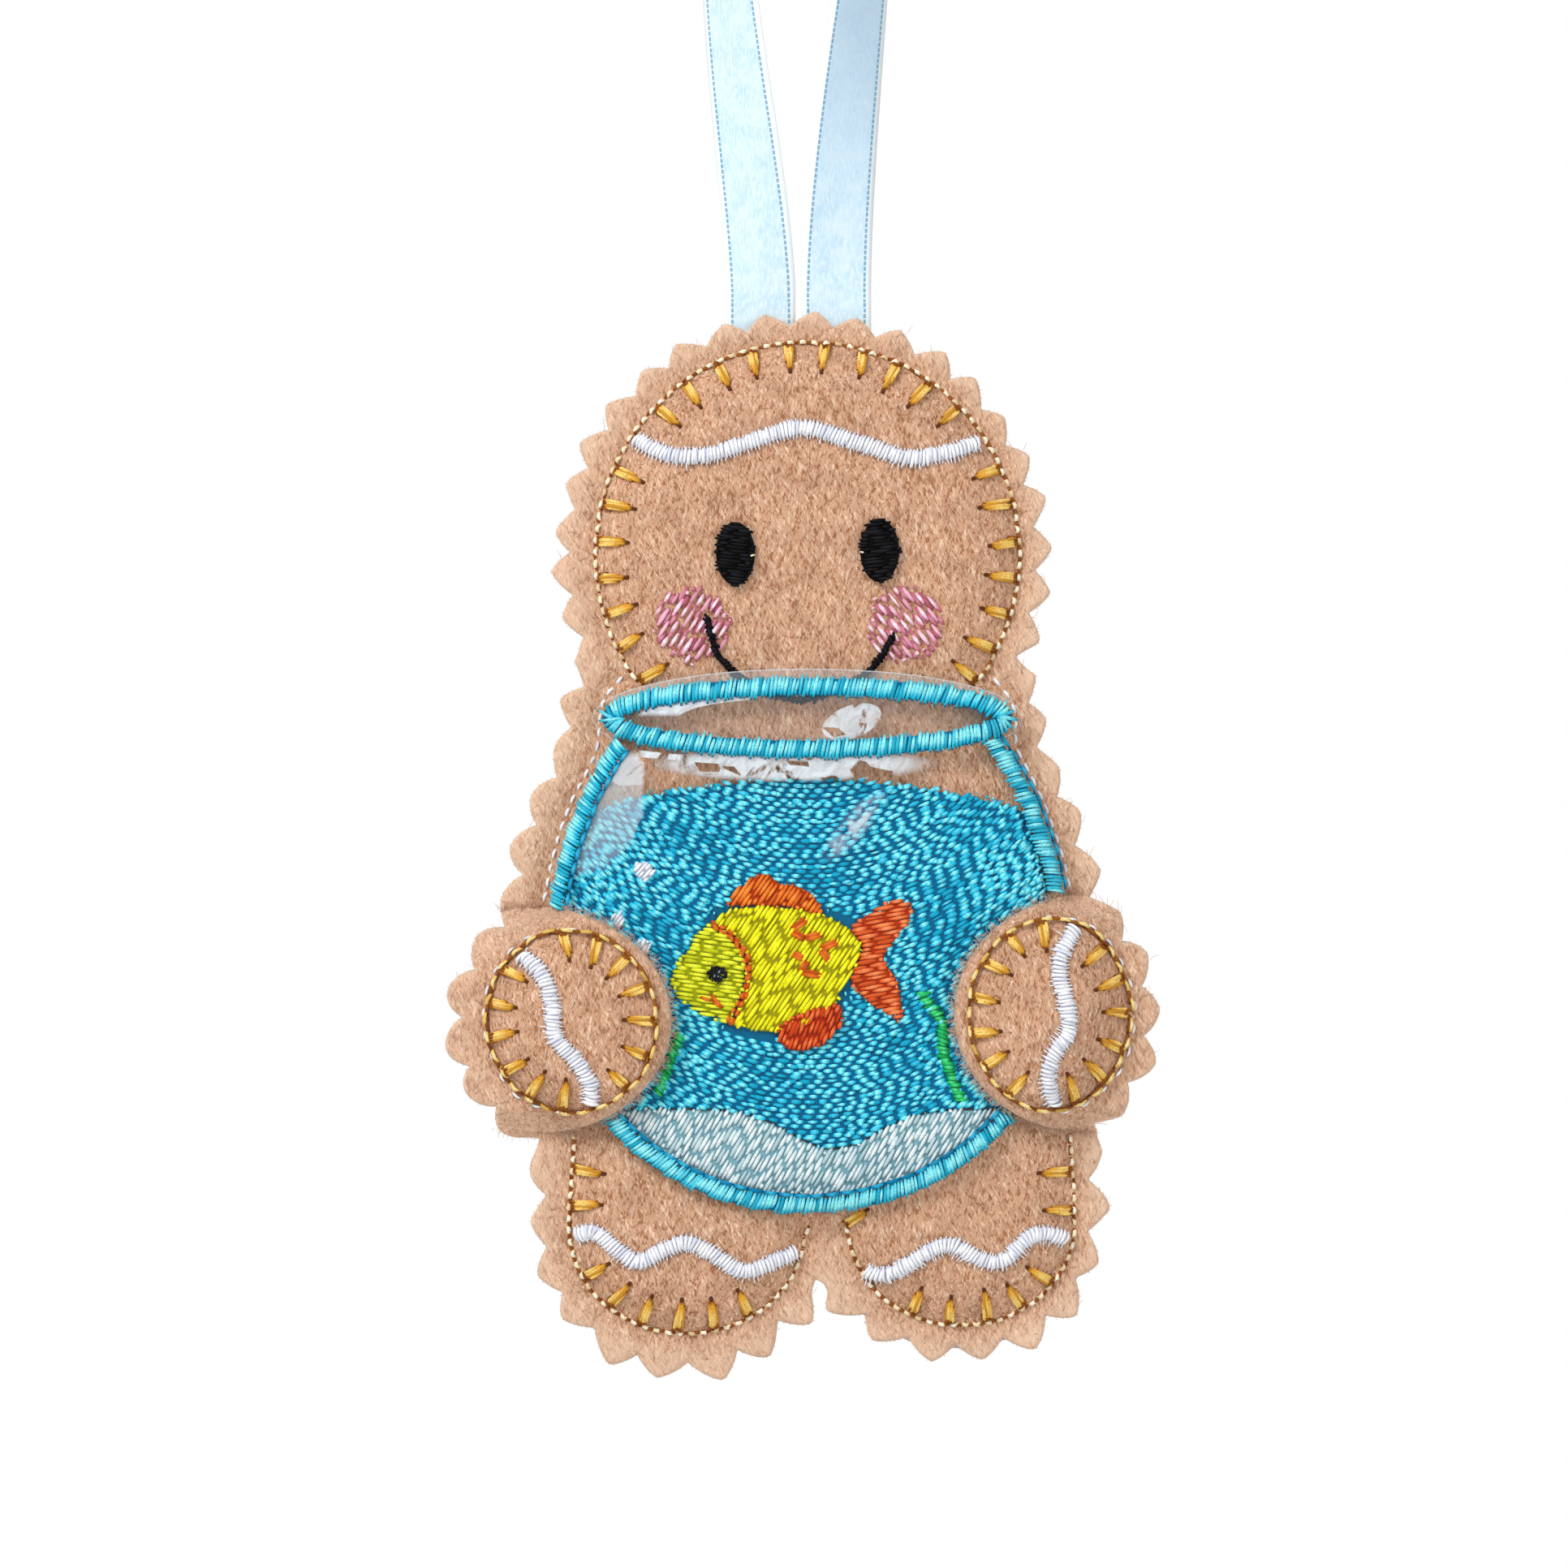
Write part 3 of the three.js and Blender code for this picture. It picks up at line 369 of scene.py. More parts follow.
def smooth_loop(points, step):
    """A smooth closed line through a few points."""
    points = np.asarray(points, float)
    wrapped = np.vstack([points[-2:], points, points[:3]])
    dense = smooth_line(wrapped, step / 4)
    start = np.argmin(np.linalg.norm(dense - points[0], axis=1)[:len(dense) // 2])
    stop = len(dense) // 2 + np.argmin(np.linalg.norm(dense - points[0], axis=1)[len(dense) // 2:])
    loop = dense[start:stop]
    return resample(loop, max(8, round(line_length(loop, True) / step)), True)


def on_carrier(shares, x, z, scale_x, scale_z):
    """Places given as shares of what carries them."""
    return np.asarray(shares, float) * [scale_x, scale_z] + [x, z]


def on_head(shares):
    return on_carrier(shares, 0, HEAD_HEIGHT, HEAD_RADIUS, HEAD_RADIUS)


def on_egg(shares, egg):
    return on_carrier(shares, egg.x, egg.z, egg.half_width, egg.drop)


def ellipse_loop(x, z, half_width, half_height, step):
    turns = np.linspace(0, 2 * math.pi, 400, endpoint=False)
    loop = np.column_stack([x + half_width * np.cos(turns), z + half_height * np.sin(turns)])
    return resample(loop, max(10, round(line_length(loop, True) / step)), True)


def runs_of(loop, passes):
    """Unbroken runs of a closed line that pass a test."""
    clear = passes(loop)
    start = next(i for i in range(len(loop)) if not clear[i] and clear[(i + 1) % len(loop)])
    runs, run = [], []
    for i in np.roll(np.arange(len(loop)), -start - 1):
        if clear[i]:
            run.append(loop[i])
        elif run:
            runs.append(np.array(run))
            run = []
    if run:
        runs.append(np.array(run))
    return [r for r in runs if len(r) > 2]


def longest_run(loop, passes):
    return max(runs_of(loop, passes), key=len)


def inside_loop(loop):
    """A test that tells whether places lie inside a closed line."""
    def test(x, z):
        x, z = np.asarray(x, float), np.asarray(z, float)
        inside = np.zeros(x.shape, bool)
        for (ax, az), (bx, bz) in zip(loop, np.roll(loop, -1, axis=0)):
            if az != bz:
                inside ^= ((az > z) != (bz > z)) & (x < (bx - ax) * (z - az) / (bz - az) + ax)
        return inside
    return test


# Tables of places, as shares of the radius or half sizes of what carries them
FOREHEAD = [[-0.84, 0.56], [-0.66, 0.47], [-0.47, 0.467], [-0.26, 0.53], [-0.034, 0.594], [0.22, 0.53],
            [0.481, 0.453], [0.67, 0.48], [0.82, 0.533]]
SMILE = [[-0.47, -0.3], [-0.453, -0.387], [-0.415, -0.486], [-0.307, -0.585], [-0.038, -0.689],
         [0.245, -0.585], [0.33, -0.51], [0.401, -0.387]]
LEFT_HAND_WAVE = [[-0.66, 0.77], [-0.365, 0.55], [-0.25, 0.32], [-0.21, 0.05], [-0.2, -0.15],
                  [-0.035, -0.34], [0.14, -0.53], [0.235, -0.75], [0.22, -0.96]]
RIGHT_HAND_WAVE = [[0.33, 0.906], [0.21, 0.76], [0.123, 0.56], [0.123, 0.375], [0.235, -0.036], [0.21, -0.21],
                   [0.062, -0.385], [-0.012, -0.55], [-0.012, -0.73], [0.062, -0.93]]
LEFT_FOOT_WAVE = [[-0.97, -0.05], [-0.8, 0.01], [-0.615, -0.147], [-0.41, -0.29], [-0.214, -0.186],
                  [0, -0.095], [0.188, -0.186], [0.5, -0.385], [0.76, -0.284], [0.93, -0.21]]
RIGHT_FOOT_WAVE = [[-0.93, -0.4], [-0.717, -0.505], [-0.46, -0.38], [-0.288, -0.248], [-0.106, -0.188],
                   [0.15, -0.327], [0.283, -0.366], [0.407, -0.327], [0.6, -0.11], [0.76, -0.085],
                   [0.95, -0.16]]
GILL = [[-0.593, 0.732], [-0.364, 0.516], [-0.2, 0.146], [-0.2, -0.197], [-0.3, -0.656], [-0.4, -0.86]]
FISH_FACE = [[-0.712, -0.682], [-0.941, -0.44], [-1, -0.134], [-0.797, 0.427], [-0.68, 0.65]]
FISH_BACK = [[-0.42, 0.92], [-0.161, 1], [0.254, 0.975], [0.559, 0.885], [0.873, 0.643], [1, 0.363],
             [0.932, 0.057], [0.788, -0.287], [0.703, -0.656], [0.169, -1], [-0.25, -0.93]]
DORSAL = [[-0.43, 1.0], [-0.28, 1.293], [-0.017, 1.535], [0.153, 1.357], [0.314, 1.331], [0.5, 1.166],
            [0.6, 0.84], [0.254, 0.95], [-0.161, 0.97]]
TAIL = [[0.88, 0.64], [1.153, 0.975], [1.339, 1.102], [1.525, 1.013], [1.466, 0.669], [1.237, 0.172],
        [1.364, -0.134], [1.407, -0.809], [1.178, -0.656], [0.86, -0.2], [0.91, 0.04], [0.98, 0.36]]
BELLY = [[0.79, -0.56], [0.76, -0.9], [0.6, -1.16], [0.4, -1.28], [0.2, -1.26], [0.1, -1.02], [0.2, -0.78],
         [0.48, -0.6]]
MOUTH = [[-0.7, -0.42], [-0.56, -0.5], [-0.46, -0.6], [-0.58, -0.38]]
SCALES = [[[0.42, 0.79], [0.25, 0.6], [0.4, 0.48], [0.58, 0.56]], [[0.75, 0.44], [0.56, 0.32], [0.66, 0.12]],
          [[0.26, 0.26], [0.42, 0.14], [0.36, -0.04], [0.58, -0.1]]]
FISH_EYE = [-0.517, -0.07]
BUBBLES = [[-0.64, 0.29], [-0.74, 0.14], [-0.64, 0.057]]
LEFT_SEAWEED = [[-0.5, -0.29], [-0.55, -0.43], [-0.585, -0.53]]
RIGHT_SEAWEED = [[0.445, -0.115], [0.53, -0.245], [0.53, -0.35], [0.57, -0.48], [0.6, -0.56]]

# The ribbon's loop, in millimetres above its fold at the top of the head
LEFT_RIBBON_PLACE, RIGHT_RIBBON_PLACE = -4.7, 2.9
RIBBON_END_FOOT = 89.2
RIBBON_ROUTE = [[LEFT_RIBBON_PLACE, -0.1], [LEFT_RIBBON_PLACE, 1.6], [-5.1, 7], [-6, 15], [-7.1, 24],
                [-8.1, 34], [-8.8, 45], [-8.9, 56], [-8, 66], [-6, 74], [-3.6, 78.8], [-1, LOOP_TOP],
                [1.6, 78.8], [4, 74], [5.9, 66], [6.8, 56], [6.6, 45], [5.7, 34], [4.6, 24], [3.7, 15],
                [3.1, 7], [RIGHT_RIBBON_PLACE, 1.6], [RIGHT_RIBBON_PLACE, -0.1]]


# Camera, stage and light

# In metres, but for the sensor
SENSOR_WIDTH = 36
CAMERA_DISTANCE = 0.65
PICTURE_WIDTH = 0.1565
PICTURE_CENTRE = (-0.00235, -0.12865)
FRONT_DEPTH = 0.004
FLOOR_HEIGHT = -0.215
MIDDLE = (0.0, 0.0, -0.13)


def add_camera():
    """Straight in front of the figure, with the picture's width measured at its front."""
    data = bpy.data.cameras.new("camera")
    data.sensor_width = SENSOR_WIDTH
    data.lens = SENSOR_WIDTH * (CAMERA_DISTANCE - FRONT_DEPTH) / PICTURE_WIDTH
    data.clip_start, data.clip_end = 0.01, 20
    camera = bpy.data.objects.new("camera", data)
    camera.location = (PICTURE_CENTRE[0], -CAMERA_DISTANCE, PICTURE_CENTRE[1])
    camera.rotation_euler = (math.pi / 2, 0, 0)
    bpy.context.scene.collection.objects.link(camera)
    bpy.context.scene.camera = camera


add_camera()


class Recipe:
    """The nodes of one material, group or world."""

    def __init__(self, tree):
        self.tree = tree

    def place(self, kind, **values):
        """A node with the given properties, and the given values on its sockets."""
        node = self.tree.nodes.new(kind)
        for name, value in values.items():
            if hasattr(node, name):
                setattr(node, name, value)
            else:
                node.inputs[name.replace("_", " ")].default_value = value
        return node

    def feed(self, socket, value):
        """A result goes to a socket as a link, and a plain value as its setting."""
        if isinstance(value, bpy.types.NodeSocket):
            self.tree.links.new(value, socket)
        else:
            socket.default_value = value

    def maths(self, operation, *values, clamp=False):
        node = self.place("ShaderNodeMath", operation=operation, use_clamp=clamp)
        for socket, value in zip(node.inputs, values):
            self.feed(socket, value)
        return node.outputs[0]

    def times(self, *values):
        return reduce(lambda a, b: self.maths("MULTIPLY", a, b), values)

    def plus(self, a, b):
        return self.maths("ADD", a, b)

    def minus(self, a, b):
        return self.maths("SUBTRACT", a, b)

    def most(self, *values):
        return reduce(lambda a, b: self.maths("MAXIMUM", a, b), values)

    def unsigned(self, value):
        return self.maths("ABSOLUTE", value)

    def ease(self, value, low, high, to_low=0.0, to_high=1.0):
        """Eases a value from one range to another."""
        node = self.place("ShaderNodeMapRange", interpolation_type="SMOOTHSTEP")
        for socket, number in zip(node.inputs, (value, low, high, to_low, to_high)):
            self.feed(socket, number)
        return node.outputs[0]

    def mix(self, share, a, b, mode="MIX"):
        """From colour a to colour b by a share."""
        node = self.place("ShaderNodeMix", data_type="RGBA", blend_type=mode)
        for number, value in ((0, share), (6, a), (7, b)):
            self.feed(node.inputs[number], value)
        return node.outputs[2]

    def grey(self, value):
        node = self.place("ShaderNodeCombineColor")
        for socket in node.inputs:
            self.feed(socket, value)
        return node.outputs[0]

    def noise(self, vector, scale, detail, roughness, distortion=0.0):
        node = self.place("ShaderNodeTexNoise", Scale=scale, Detail=detail, Roughness=roughness,
                          Distortion=distortion)
        self.feed(node.inputs["Vector"], vector)
        return node.outputs[0]

    def attribute(self, name):
        return self.place("ShaderNodeAttribute", attribute_name=name).outputs["Fac"]

    def spot(self):
        """The place on the piece itself, in metres."""
        return self.place("ShaderNodeTexCoord").outputs["Object"]

    def turned(self, vector, scale=(1.0, 1.0, 1.0), turn=(0, 0, 0)):
        node = self.place("ShaderNodeMapping", Scale=scale, Rotation=turn)
        self.feed(node.inputs["Vector"], vector)
        return node.outputs[0]

    def drawn_out(self, vector, length, lean):
        """A place that a texture reads stretched upwards by the given factor, leaning to one side."""
        node = self.place("ShaderNodeMapping", vector_type="TEXTURE", Scale=(1.0, 1.0, length),
                          Rotation=(0, lean, 0))
        self.feed(node.inputs["Vector"], vector)
        return node.outputs[0]

    def surface(self, colour, roughness, height, depth, **values):
        """The shader on the material's output, with a relief of the given depth in metres."""
        shader = self.place("ShaderNodeBsdfPrincipled", **values)
        bump = self.place("ShaderNodeBump", Distance=depth, Strength=1.0)
        self.feed(bump.inputs["Height"], height)
        self.feed(shader.inputs["Normal"], bump.outputs[0])
        self.feed(shader.inputs["Base Color"], colour)
        self.feed(shader.inputs["Roughness"], roughness)
        self.feed(self.place("ShaderNodeOutputMaterial").inputs["Surface"], shader.outputs[0])
        return shader


def recipe_of(owner):
    """The emptied recipe of a material or a world."""
    owner.use_nodes = True
    owner.node_tree.nodes.clear()
    return Recipe(owner.node_tree)


def white_to_the_eye(recipe, surface, output):
    """White to the camera, and in gloss and glass, while the surface keeps its own colour for light."""
    paths = recipe.place("ShaderNodeLightPath").outputs
    glass = recipe.most(paths["Is Glossy Ray"], paths["Is Transmission Ray"])
    seen = recipe.most(paths["Is Camera Ray"], glass)
    white = recipe.place("ShaderNodeEmission", Strength=1.0, Color=(1, 1, 1, 1))
    mix = recipe.place("ShaderNodeMixShader")
    for socket, value in zip(mix.inputs, (seen, surface.outputs[0], white.outputs[0])):
        recipe.feed(socket, value)
    recipe.feed(output.inputs["Surface"], mix.outputs[0])


def add_stage():
    """A floor that bends up into a backdrop, as one sheet of pale paper."""
    radius, back, half_width = 0.4, 0.9, 1.6
    sweep = [(-1.2, FLOOR_HEIGHT), (back, FLOOR_HEIGHT)]
    for turn in np.linspace(0.1, 1.5, 12):
        sweep.append((back + radius * math.sin(turn), FLOOR_HEIGHT + radius - radius * math.cos(turn)))
    sweep.append((back + radius, 1.6))
    corners = [(x, y, z) for y, z in sweep for x in (-half_width, half_width)]
    faces = [(2 * i, 2 * i + 1, 2 * i + 3, 2 * i + 2) for i in range(len(sweep) - 1)]
    mesh = bpy.data.meshes.new("backdrop")
    mesh.from_pydata(corners, [], faces)
    mesh.shade_smooth()
    backdrop = bpy.data.objects.new("backdrop", mesh)
    bpy.context.scene.collection.objects.link(backdrop)
    paper = bpy.data.materials.new("backdrop_paper")
    recipe = recipe_of(paper)
    surface = recipe.place("ShaderNodeBsdfDiffuse", Color=(0.8, 0.8, 0.79, 1))
    white_to_the_eye(recipe, surface, recipe.place("ShaderNodeOutputMaterial"))
    mesh.materials.append(paper)


def add_world(strength):
    world = bpy.data.worlds.new("studio")
    bpy.context.scene.world = world
    recipe = recipe_of(world)
    surface = recipe.place("ShaderNodeBackground", Color=(1, 1, 1, 1), Strength=strength)
    white_to_the_eye(recipe, surface, recipe.place("ShaderNodeOutputWorld"))


def add_lamp(name, place_at, size, power):
    """A soft square lamp that points at the middle of the ornament."""
    data = bpy.data.lights.new(name, "AREA")
    data.shape, data.size, data.size_y = "RECTANGLE", size, size
    data.energy = power
    lamp = bpy.data.objects.new(name, data)
    lamp.location = place_at
    lamp.rotation_euler = (Vector(MIDDLE) - Vector(place_at)).to_track_quat("-Z", "Y").to_euler()
    bpy.context.scene.collection.objects.link(lamp)


add_stage()
add_world(0.42)
add_lamp("key_light", place_at=(-0.45, -0.55, 0.45), size=0.35, power=5.5)
add_lamp("fill_light", place_at=(0.6, -0.7, 0.0), size=0.6, power=2.0)
add_lamp("back_light", place_at=(0.2, 0.8, 0.4), size=0.6, power=3.0)
bpy.context.scene.view_settings.view_transform = "Standard"


# Building pieces

SEED = 7
dice = random.Random(SEED)
grains = np.random.default_rng(SEED)

# How far the ends of a stitch sink in, as a share of its height
SUNK_SHARE = 0.3

# Rows of fill stitches: the shortest stitch, how near to an end a joint may come, and how far each strays
SHORTEST_STITCH = 0.25
JOINT_MARGIN = 0.35
JOINT_WANDER = 0.12
ROW_WANDER = 0.04

# The height of a row of even triangles, as a share of their side
ROW_SHARE = 0.866


class Work:
    """Gathers the faces of one piece, in millimetres: x, the height towards the viewer, and z."""

    def __init__(self, side=-1):
        self.side = side
        self.points, self.faces, self.finishes = [], [], []
        self.tones, self.alongs = [], []
        self.count = 0

    def add(self, points, faces, finish=0, tone=0.0, along=0.0):
        """Faces of one finish, with the tone and the place along its thread at each point."""
        points = np.asarray(points, float).reshape(-1, 3)
        self.points.append(points)
        self.faces += (np.asarray(faces) + self.count).tolist()
        self.finishes += [finish] * len(faces)
        self.tones.append(np.broadcast_to(tone, len(points)))
        self.alongs.append(np.broadcast_to(along, len(points)))
        self.count += len(points)

    def finish(self, name, body, nodes, materials):
        """The piece itself, in metres, on its body and in place of its solids."""
        x, y, z = np.vstack(self.points).T
        corners = np.column_stack([x, y * self.side, z + FIGURE_DROP]) * MM
        mesh = bpy.data.meshes.new(name)
        mesh.from_pydata(corners.tolist(), [], self.faces)
        mesh.polygons.foreach_set("material_index", self.finishes)
        for label, values in (("tone", self.tones), ("along", self.alongs)):
            layer = mesh.attributes.new(label, "FLOAT", "POINT")
            layer.data.foreach_set("value", np.concatenate(values).astype(np.float32))
        for material in materials:
            mesh.materials.append(material)
        mesh.shade_smooth()
        piece = bpy.data.objects.new(name, mesh)
        bpy.context.scene.collection.objects.link(piece)
        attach(piece, body)
        if nodes:
            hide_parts(*nodes)
        return piece


def ring_quads(index, axis):
    """Four-sided faces between each ring of point numbers and the next one along the given axis."""
    here, there = np.delete(index, -1, axis=axis), np.delete(index, 0, axis=axis)
    quads = [here, np.roll(here, -1, axis=-1), np.roll(there, -1, axis=-1), there]
    return np.stack(quads, axis=-1).reshape(-1, 4)


def tubes(work, centres, across, up, half_widths, half_heights, sides=6, finish=0, tone=0.0, along=0.0):
    """Closed tubes, one for each row of centres, with an oval section of the given half sizes."""
    count, rings = centres.shape[:2]
    turns = (np.arange(sides) + 0.5) * 2 * math.pi / sides
    points = (centres[:, :, None] + across[:, :, None] * (half_widths[:, :, None] * np.cos(turns))[..., None]
              + up[:, :, None] * (half_heights[:, :, None] * np.sin(turns))[..., None])
    index = np.arange(count * rings * sides).reshape(count, rings, sides)
    quads = ring_quads(index, axis=1)
    shape = (count, rings, sides)
    tones = np.broadcast_to(np.asarray(tone, float).reshape(-1, 1, 1), shape).ravel()
    alongs = np.broadcast_to(np.asarray(along, float).reshape(1, -1, 1), shape).ravel()
    start = work.count
    work.add(points, quads, finish, tones, alongs)
    for ring in (index[:, 0, ::-1], index[:, -1]):
        work.faces += (ring + start).tolist()
        work.finishes += [finish] * count


def leftward(directions):
    """Each direction turned a quarter to its left."""
    return np.stack([-directions[..., 1], directions[..., 0]], axis=-1)


def on_ground(places, ground):
    """Places of the plane as points on a surface."""
    x, z = places[..., 0], places[..., 1]
    return np.stack([x, ground(x, z), z], axis=-1)


def along_slope(places, ground, directions, reach=0.15):
    """Directions of the plane, tilted with the surface at the given places."""
    x, z = places[..., 0], places[..., 1]
    u, v = directions[..., 0], directions[..., 1]
    climb = ground(x + u * reach, z + v * reach) - ground(x - u * reach, z - v * reach)
    return np.stack([u, climb / (2 * reach), v], axis=-1)


def slope_frames(places, ground, directions):
    """The across and up directions at places on a ground, for lines that run along the given directions."""
    side = unit(along_slope(places, ground, leftward(directions)))
    up = unit(np.cross(along_slope(places, ground, directions), side))
    return side, up * np.sign(up[..., 1])[..., None]


def column(values):
    """Numbers as a column, one for each stitch."""
    return np.asarray(values, float).reshape(-1, 1)


def stitches(work, starts, ends, ground, width, height, bow, tone=None, rings=5, sides=6, arch=2.0,
             taper=0.5, finish=0, shade=(0.0, 1.0)):
    """Short threads over a ground: each rises from a hole, bows over and dives into the next.

    The higher the arch, the squarer the bow. A shade that starts above 0 leaves the first end pale.
    """
    starts, ends = np.asarray(starts, float), np.asarray(ends, float)
    if len(starts) == 0:
        return
    t = 0.5 - 0.5 * np.cos(np.linspace(0, math.pi, rings))
    places = starts[:, None] + (ends - starts)[:, None] * t[None, :, None]
    directions = np.broadcast_to(unit(ends - starts)[:, None], places.shape)
    side, up = slope_frames(places, ground, directions)
    shape = 1 - np.abs(2 * t - 1) ** arch
    swell = taper + (1 - taper) * (1 - np.abs(2 * t - 1) ** 3)
    widths = np.broadcast_to(column(width) / 2 * swell, places.shape[:2])
    heights = np.broadcast_to(column(height) / 2 * swell, places.shape[:2])
    rise = column(bow) * shape - SUNK_SHARE * height * (1 - shape)
    centres = on_ground(places, ground) + up * np.broadcast_to(rise, places.shape[:2])[..., None]
    if tone is None:
        tone = grains.uniform(0, 1, len(starts))
    tubes(work, centres, side, up, widths, heights, sides, finish, tone, shade[0] + t * (shade[1] - shade[0]))


def pad_strip(work, line, width, height, ground, closed):
    """A low padded strip under a row of satin stitches."""
    if closed:
        line = np.vstack([line, line[:1]])
    runs = np.gradient(line, axis=0)
    if closed:
        runs[0] = runs[-1] = line[1] - line[-2]
    side, up = slope_frames(line, ground, unit(runs))
    ones = np.ones((1, len(line)))
    tubes(work, on_ground(line, ground)[None], side[None], up[None], ones * width / 2, ones * height,
          sides=10)


def frames_along(line, step, closed=False):
    """Even places along a line, with the direction at each."""
    count = max(3, round(line_length(line, closed) / step))
    places = resample(line, count, closed)
    ahead = np.roll(places, -1, axis=0) - np.roll(places, 1, axis=0)
    if not closed:
        ahead[0], ahead[-1] = places[1] - places[0], places[-1] - places[-2]
    return places, unit(ahead)


def satin_band(work, line, width, ground, closed=False, pitch=0.42, arch_height=0.42, slant=0.25,
               ragged=0.1, thread=0.4, towards_dark=None):
    """Satin stitch: threads side by side across a line, over a low pad.

    Where towards_dark is given, the side that it points to lies in shade.
    """
    places, ahead = frames_along(line, pitch, closed)
    across, count = leftward(ahead), len(places)
    left = places + across * (width / 2 + grains.normal(0, ragged, count))[:, None] + ahead * slant / 2
    right = places - across * (width / 2 + grains.normal(0, ragged, count))[:, None] - ahead * slant / 2
    left += ahead * grains.normal(0, 0.05, count)[:, None]
    shade = (0.0, 1.0)
    if towards_dark is not None:
        turned = np.sum((left - right) * towards_dark, axis=1)[:, None] > 0
        left, right = np.where(turned, right, left), np.where(turned, left, right)
        shade = (0.2, 1.0)
    pad_strip(work, places, width * 0.84, arch_height * 0.66, ground, closed)
    stitches(work, left, right, ground, grains.normal(thread, 0.035, count), 0.32,
             arch_height + grains.normal(0, 0.035, count), rings=7, arch=2.4, taper=0.55, shade=shade)


def fill_rows(test, box, angle, pitch, length, gap=0.12, bend=0.0, ragged=0.15, offset_share=0.37,
              shuffle=0.0):
    """Starts and ends of the stitches that fill a shape, in rows at an angle in degrees.

    A bend curves the rows like a bowl, and a shuffle makes the lengths and the joints uneven.
    """
    angle = math.radians(angle)
    (x0, x1), (z0, z1) = box
    middle = np.array([(x0 + x1) / 2, (z0 + z1) / 2])
    ahead = np.array([math.cos(angle), math.sin(angle)])
    across = leftward(ahead)
    reach = math.hypot(x1 - x0, z1 - z0) / 2 + 1
    sag = abs(bend) * reach * reach
    steps = np.arange(-reach, reach, 0.1)
    starts, ends = [], []
    for row, level in enumerate(np.arange(-reach - sag, reach + sag, pitch)):
        wander = level + dice.uniform(-ROW_WANDER, ROW_WANDER)
        line = middle + steps[:, None] * ahead + (wander + bend * steps ** 2)[:, None] * across
        inside = test(*line.T)
        edges = np.flatnonzero(np.diff(np.concatenate([[0], inside.astype(int), [0]])))
        for first, last in zip(edges[::2], edges[1::2] - 1):
            low = steps[first] + dice.uniform(-ragged, ragged)
            high = steps[last] + dice.uniform(-ragged, ragged)
            reel = length * (1 + dice.uniform(-0.4, 0.4) * shuffle)
            phase = (row * offset_share + dice.uniform(-shuffle, shuffle)) % 1 * reel
            cuts = np.arange(math.floor((low - phase) / reel) + 1, math.ceil((high - phase) / reel))
            cuts = [cut for cut in cuts * reel + phase if low + JOINT_MARGIN < cut < high - JOINT_MARGIN]
            stops = [low] + [cut + dice.uniform(-JOINT_WANDER, JOINT_WANDER) for cut in cuts] + [high]
            for a, b in zip(stops, stops[1:]):
                if b - a < SHORTEST_STITCH:
                    continue
                for at, bucket in ((a + gap / 2, starts), (b - gap / 2, ends)):
                    bucket.append(middle + at * ahead + (wander + bend * at * at) * across)
    return np.array(starts).reshape(-1, 2), np.array(ends).reshape(-1, 2)


def outline_rings(loop, insets):
    """Copies of a closed line, each moved inwards."""
    ahead = np.roll(loop, -1, axis=0) - np.roll(loop, 1, axis=0)
    inward = leftward(unit(ahead))
    return [loop + inward * inset for inset in insets]


def inset_loop(loop, inset):
    return outline_rings(loop, [inset])[0]


# Finishes

def dye(red, green, blue):
    """A colour written as it looks on screen, from 0 to 255, as Blender's linear colour."""
    def linear(value):
        value /= 255
        return value / 12.92 if value <= 0.04045 else ((value + 0.055) / 1.055) ** 2.4
    return (linear(red), linear(green), linear(blue), 1)


GREY = (0.5, 0.5, 0.5, 1)


def new_group(name, **numbers):
    """A group that takes three dyes and some numbers, and puts out a colour, a height and a roughness."""
    tree = bpy.data.node_groups.new(name, "ShaderNodeTree")
    starts = {"Body": GREY, "Light": GREY, "Dark": GREY, **numbers}
    for label, start in starts.items():
        kind = "NodeSocketColor" if start is GREY else "NodeSocketFloat"
        tree.interface.new_socket(label, in_out="INPUT", socket_type=kind).default_value = start
    for label in ("Colour", "Height", "Roughness"):
        kind = "NodeSocketColor" if label == "Colour" else "NodeSocketFloat"
        tree.interface.new_socket(label, in_out="OUTPUT", socket_type=kind)
    return Recipe(tree), tree.nodes.new("NodeGroupInput").outputs, tree.nodes.new("NodeGroupOutput").inputs


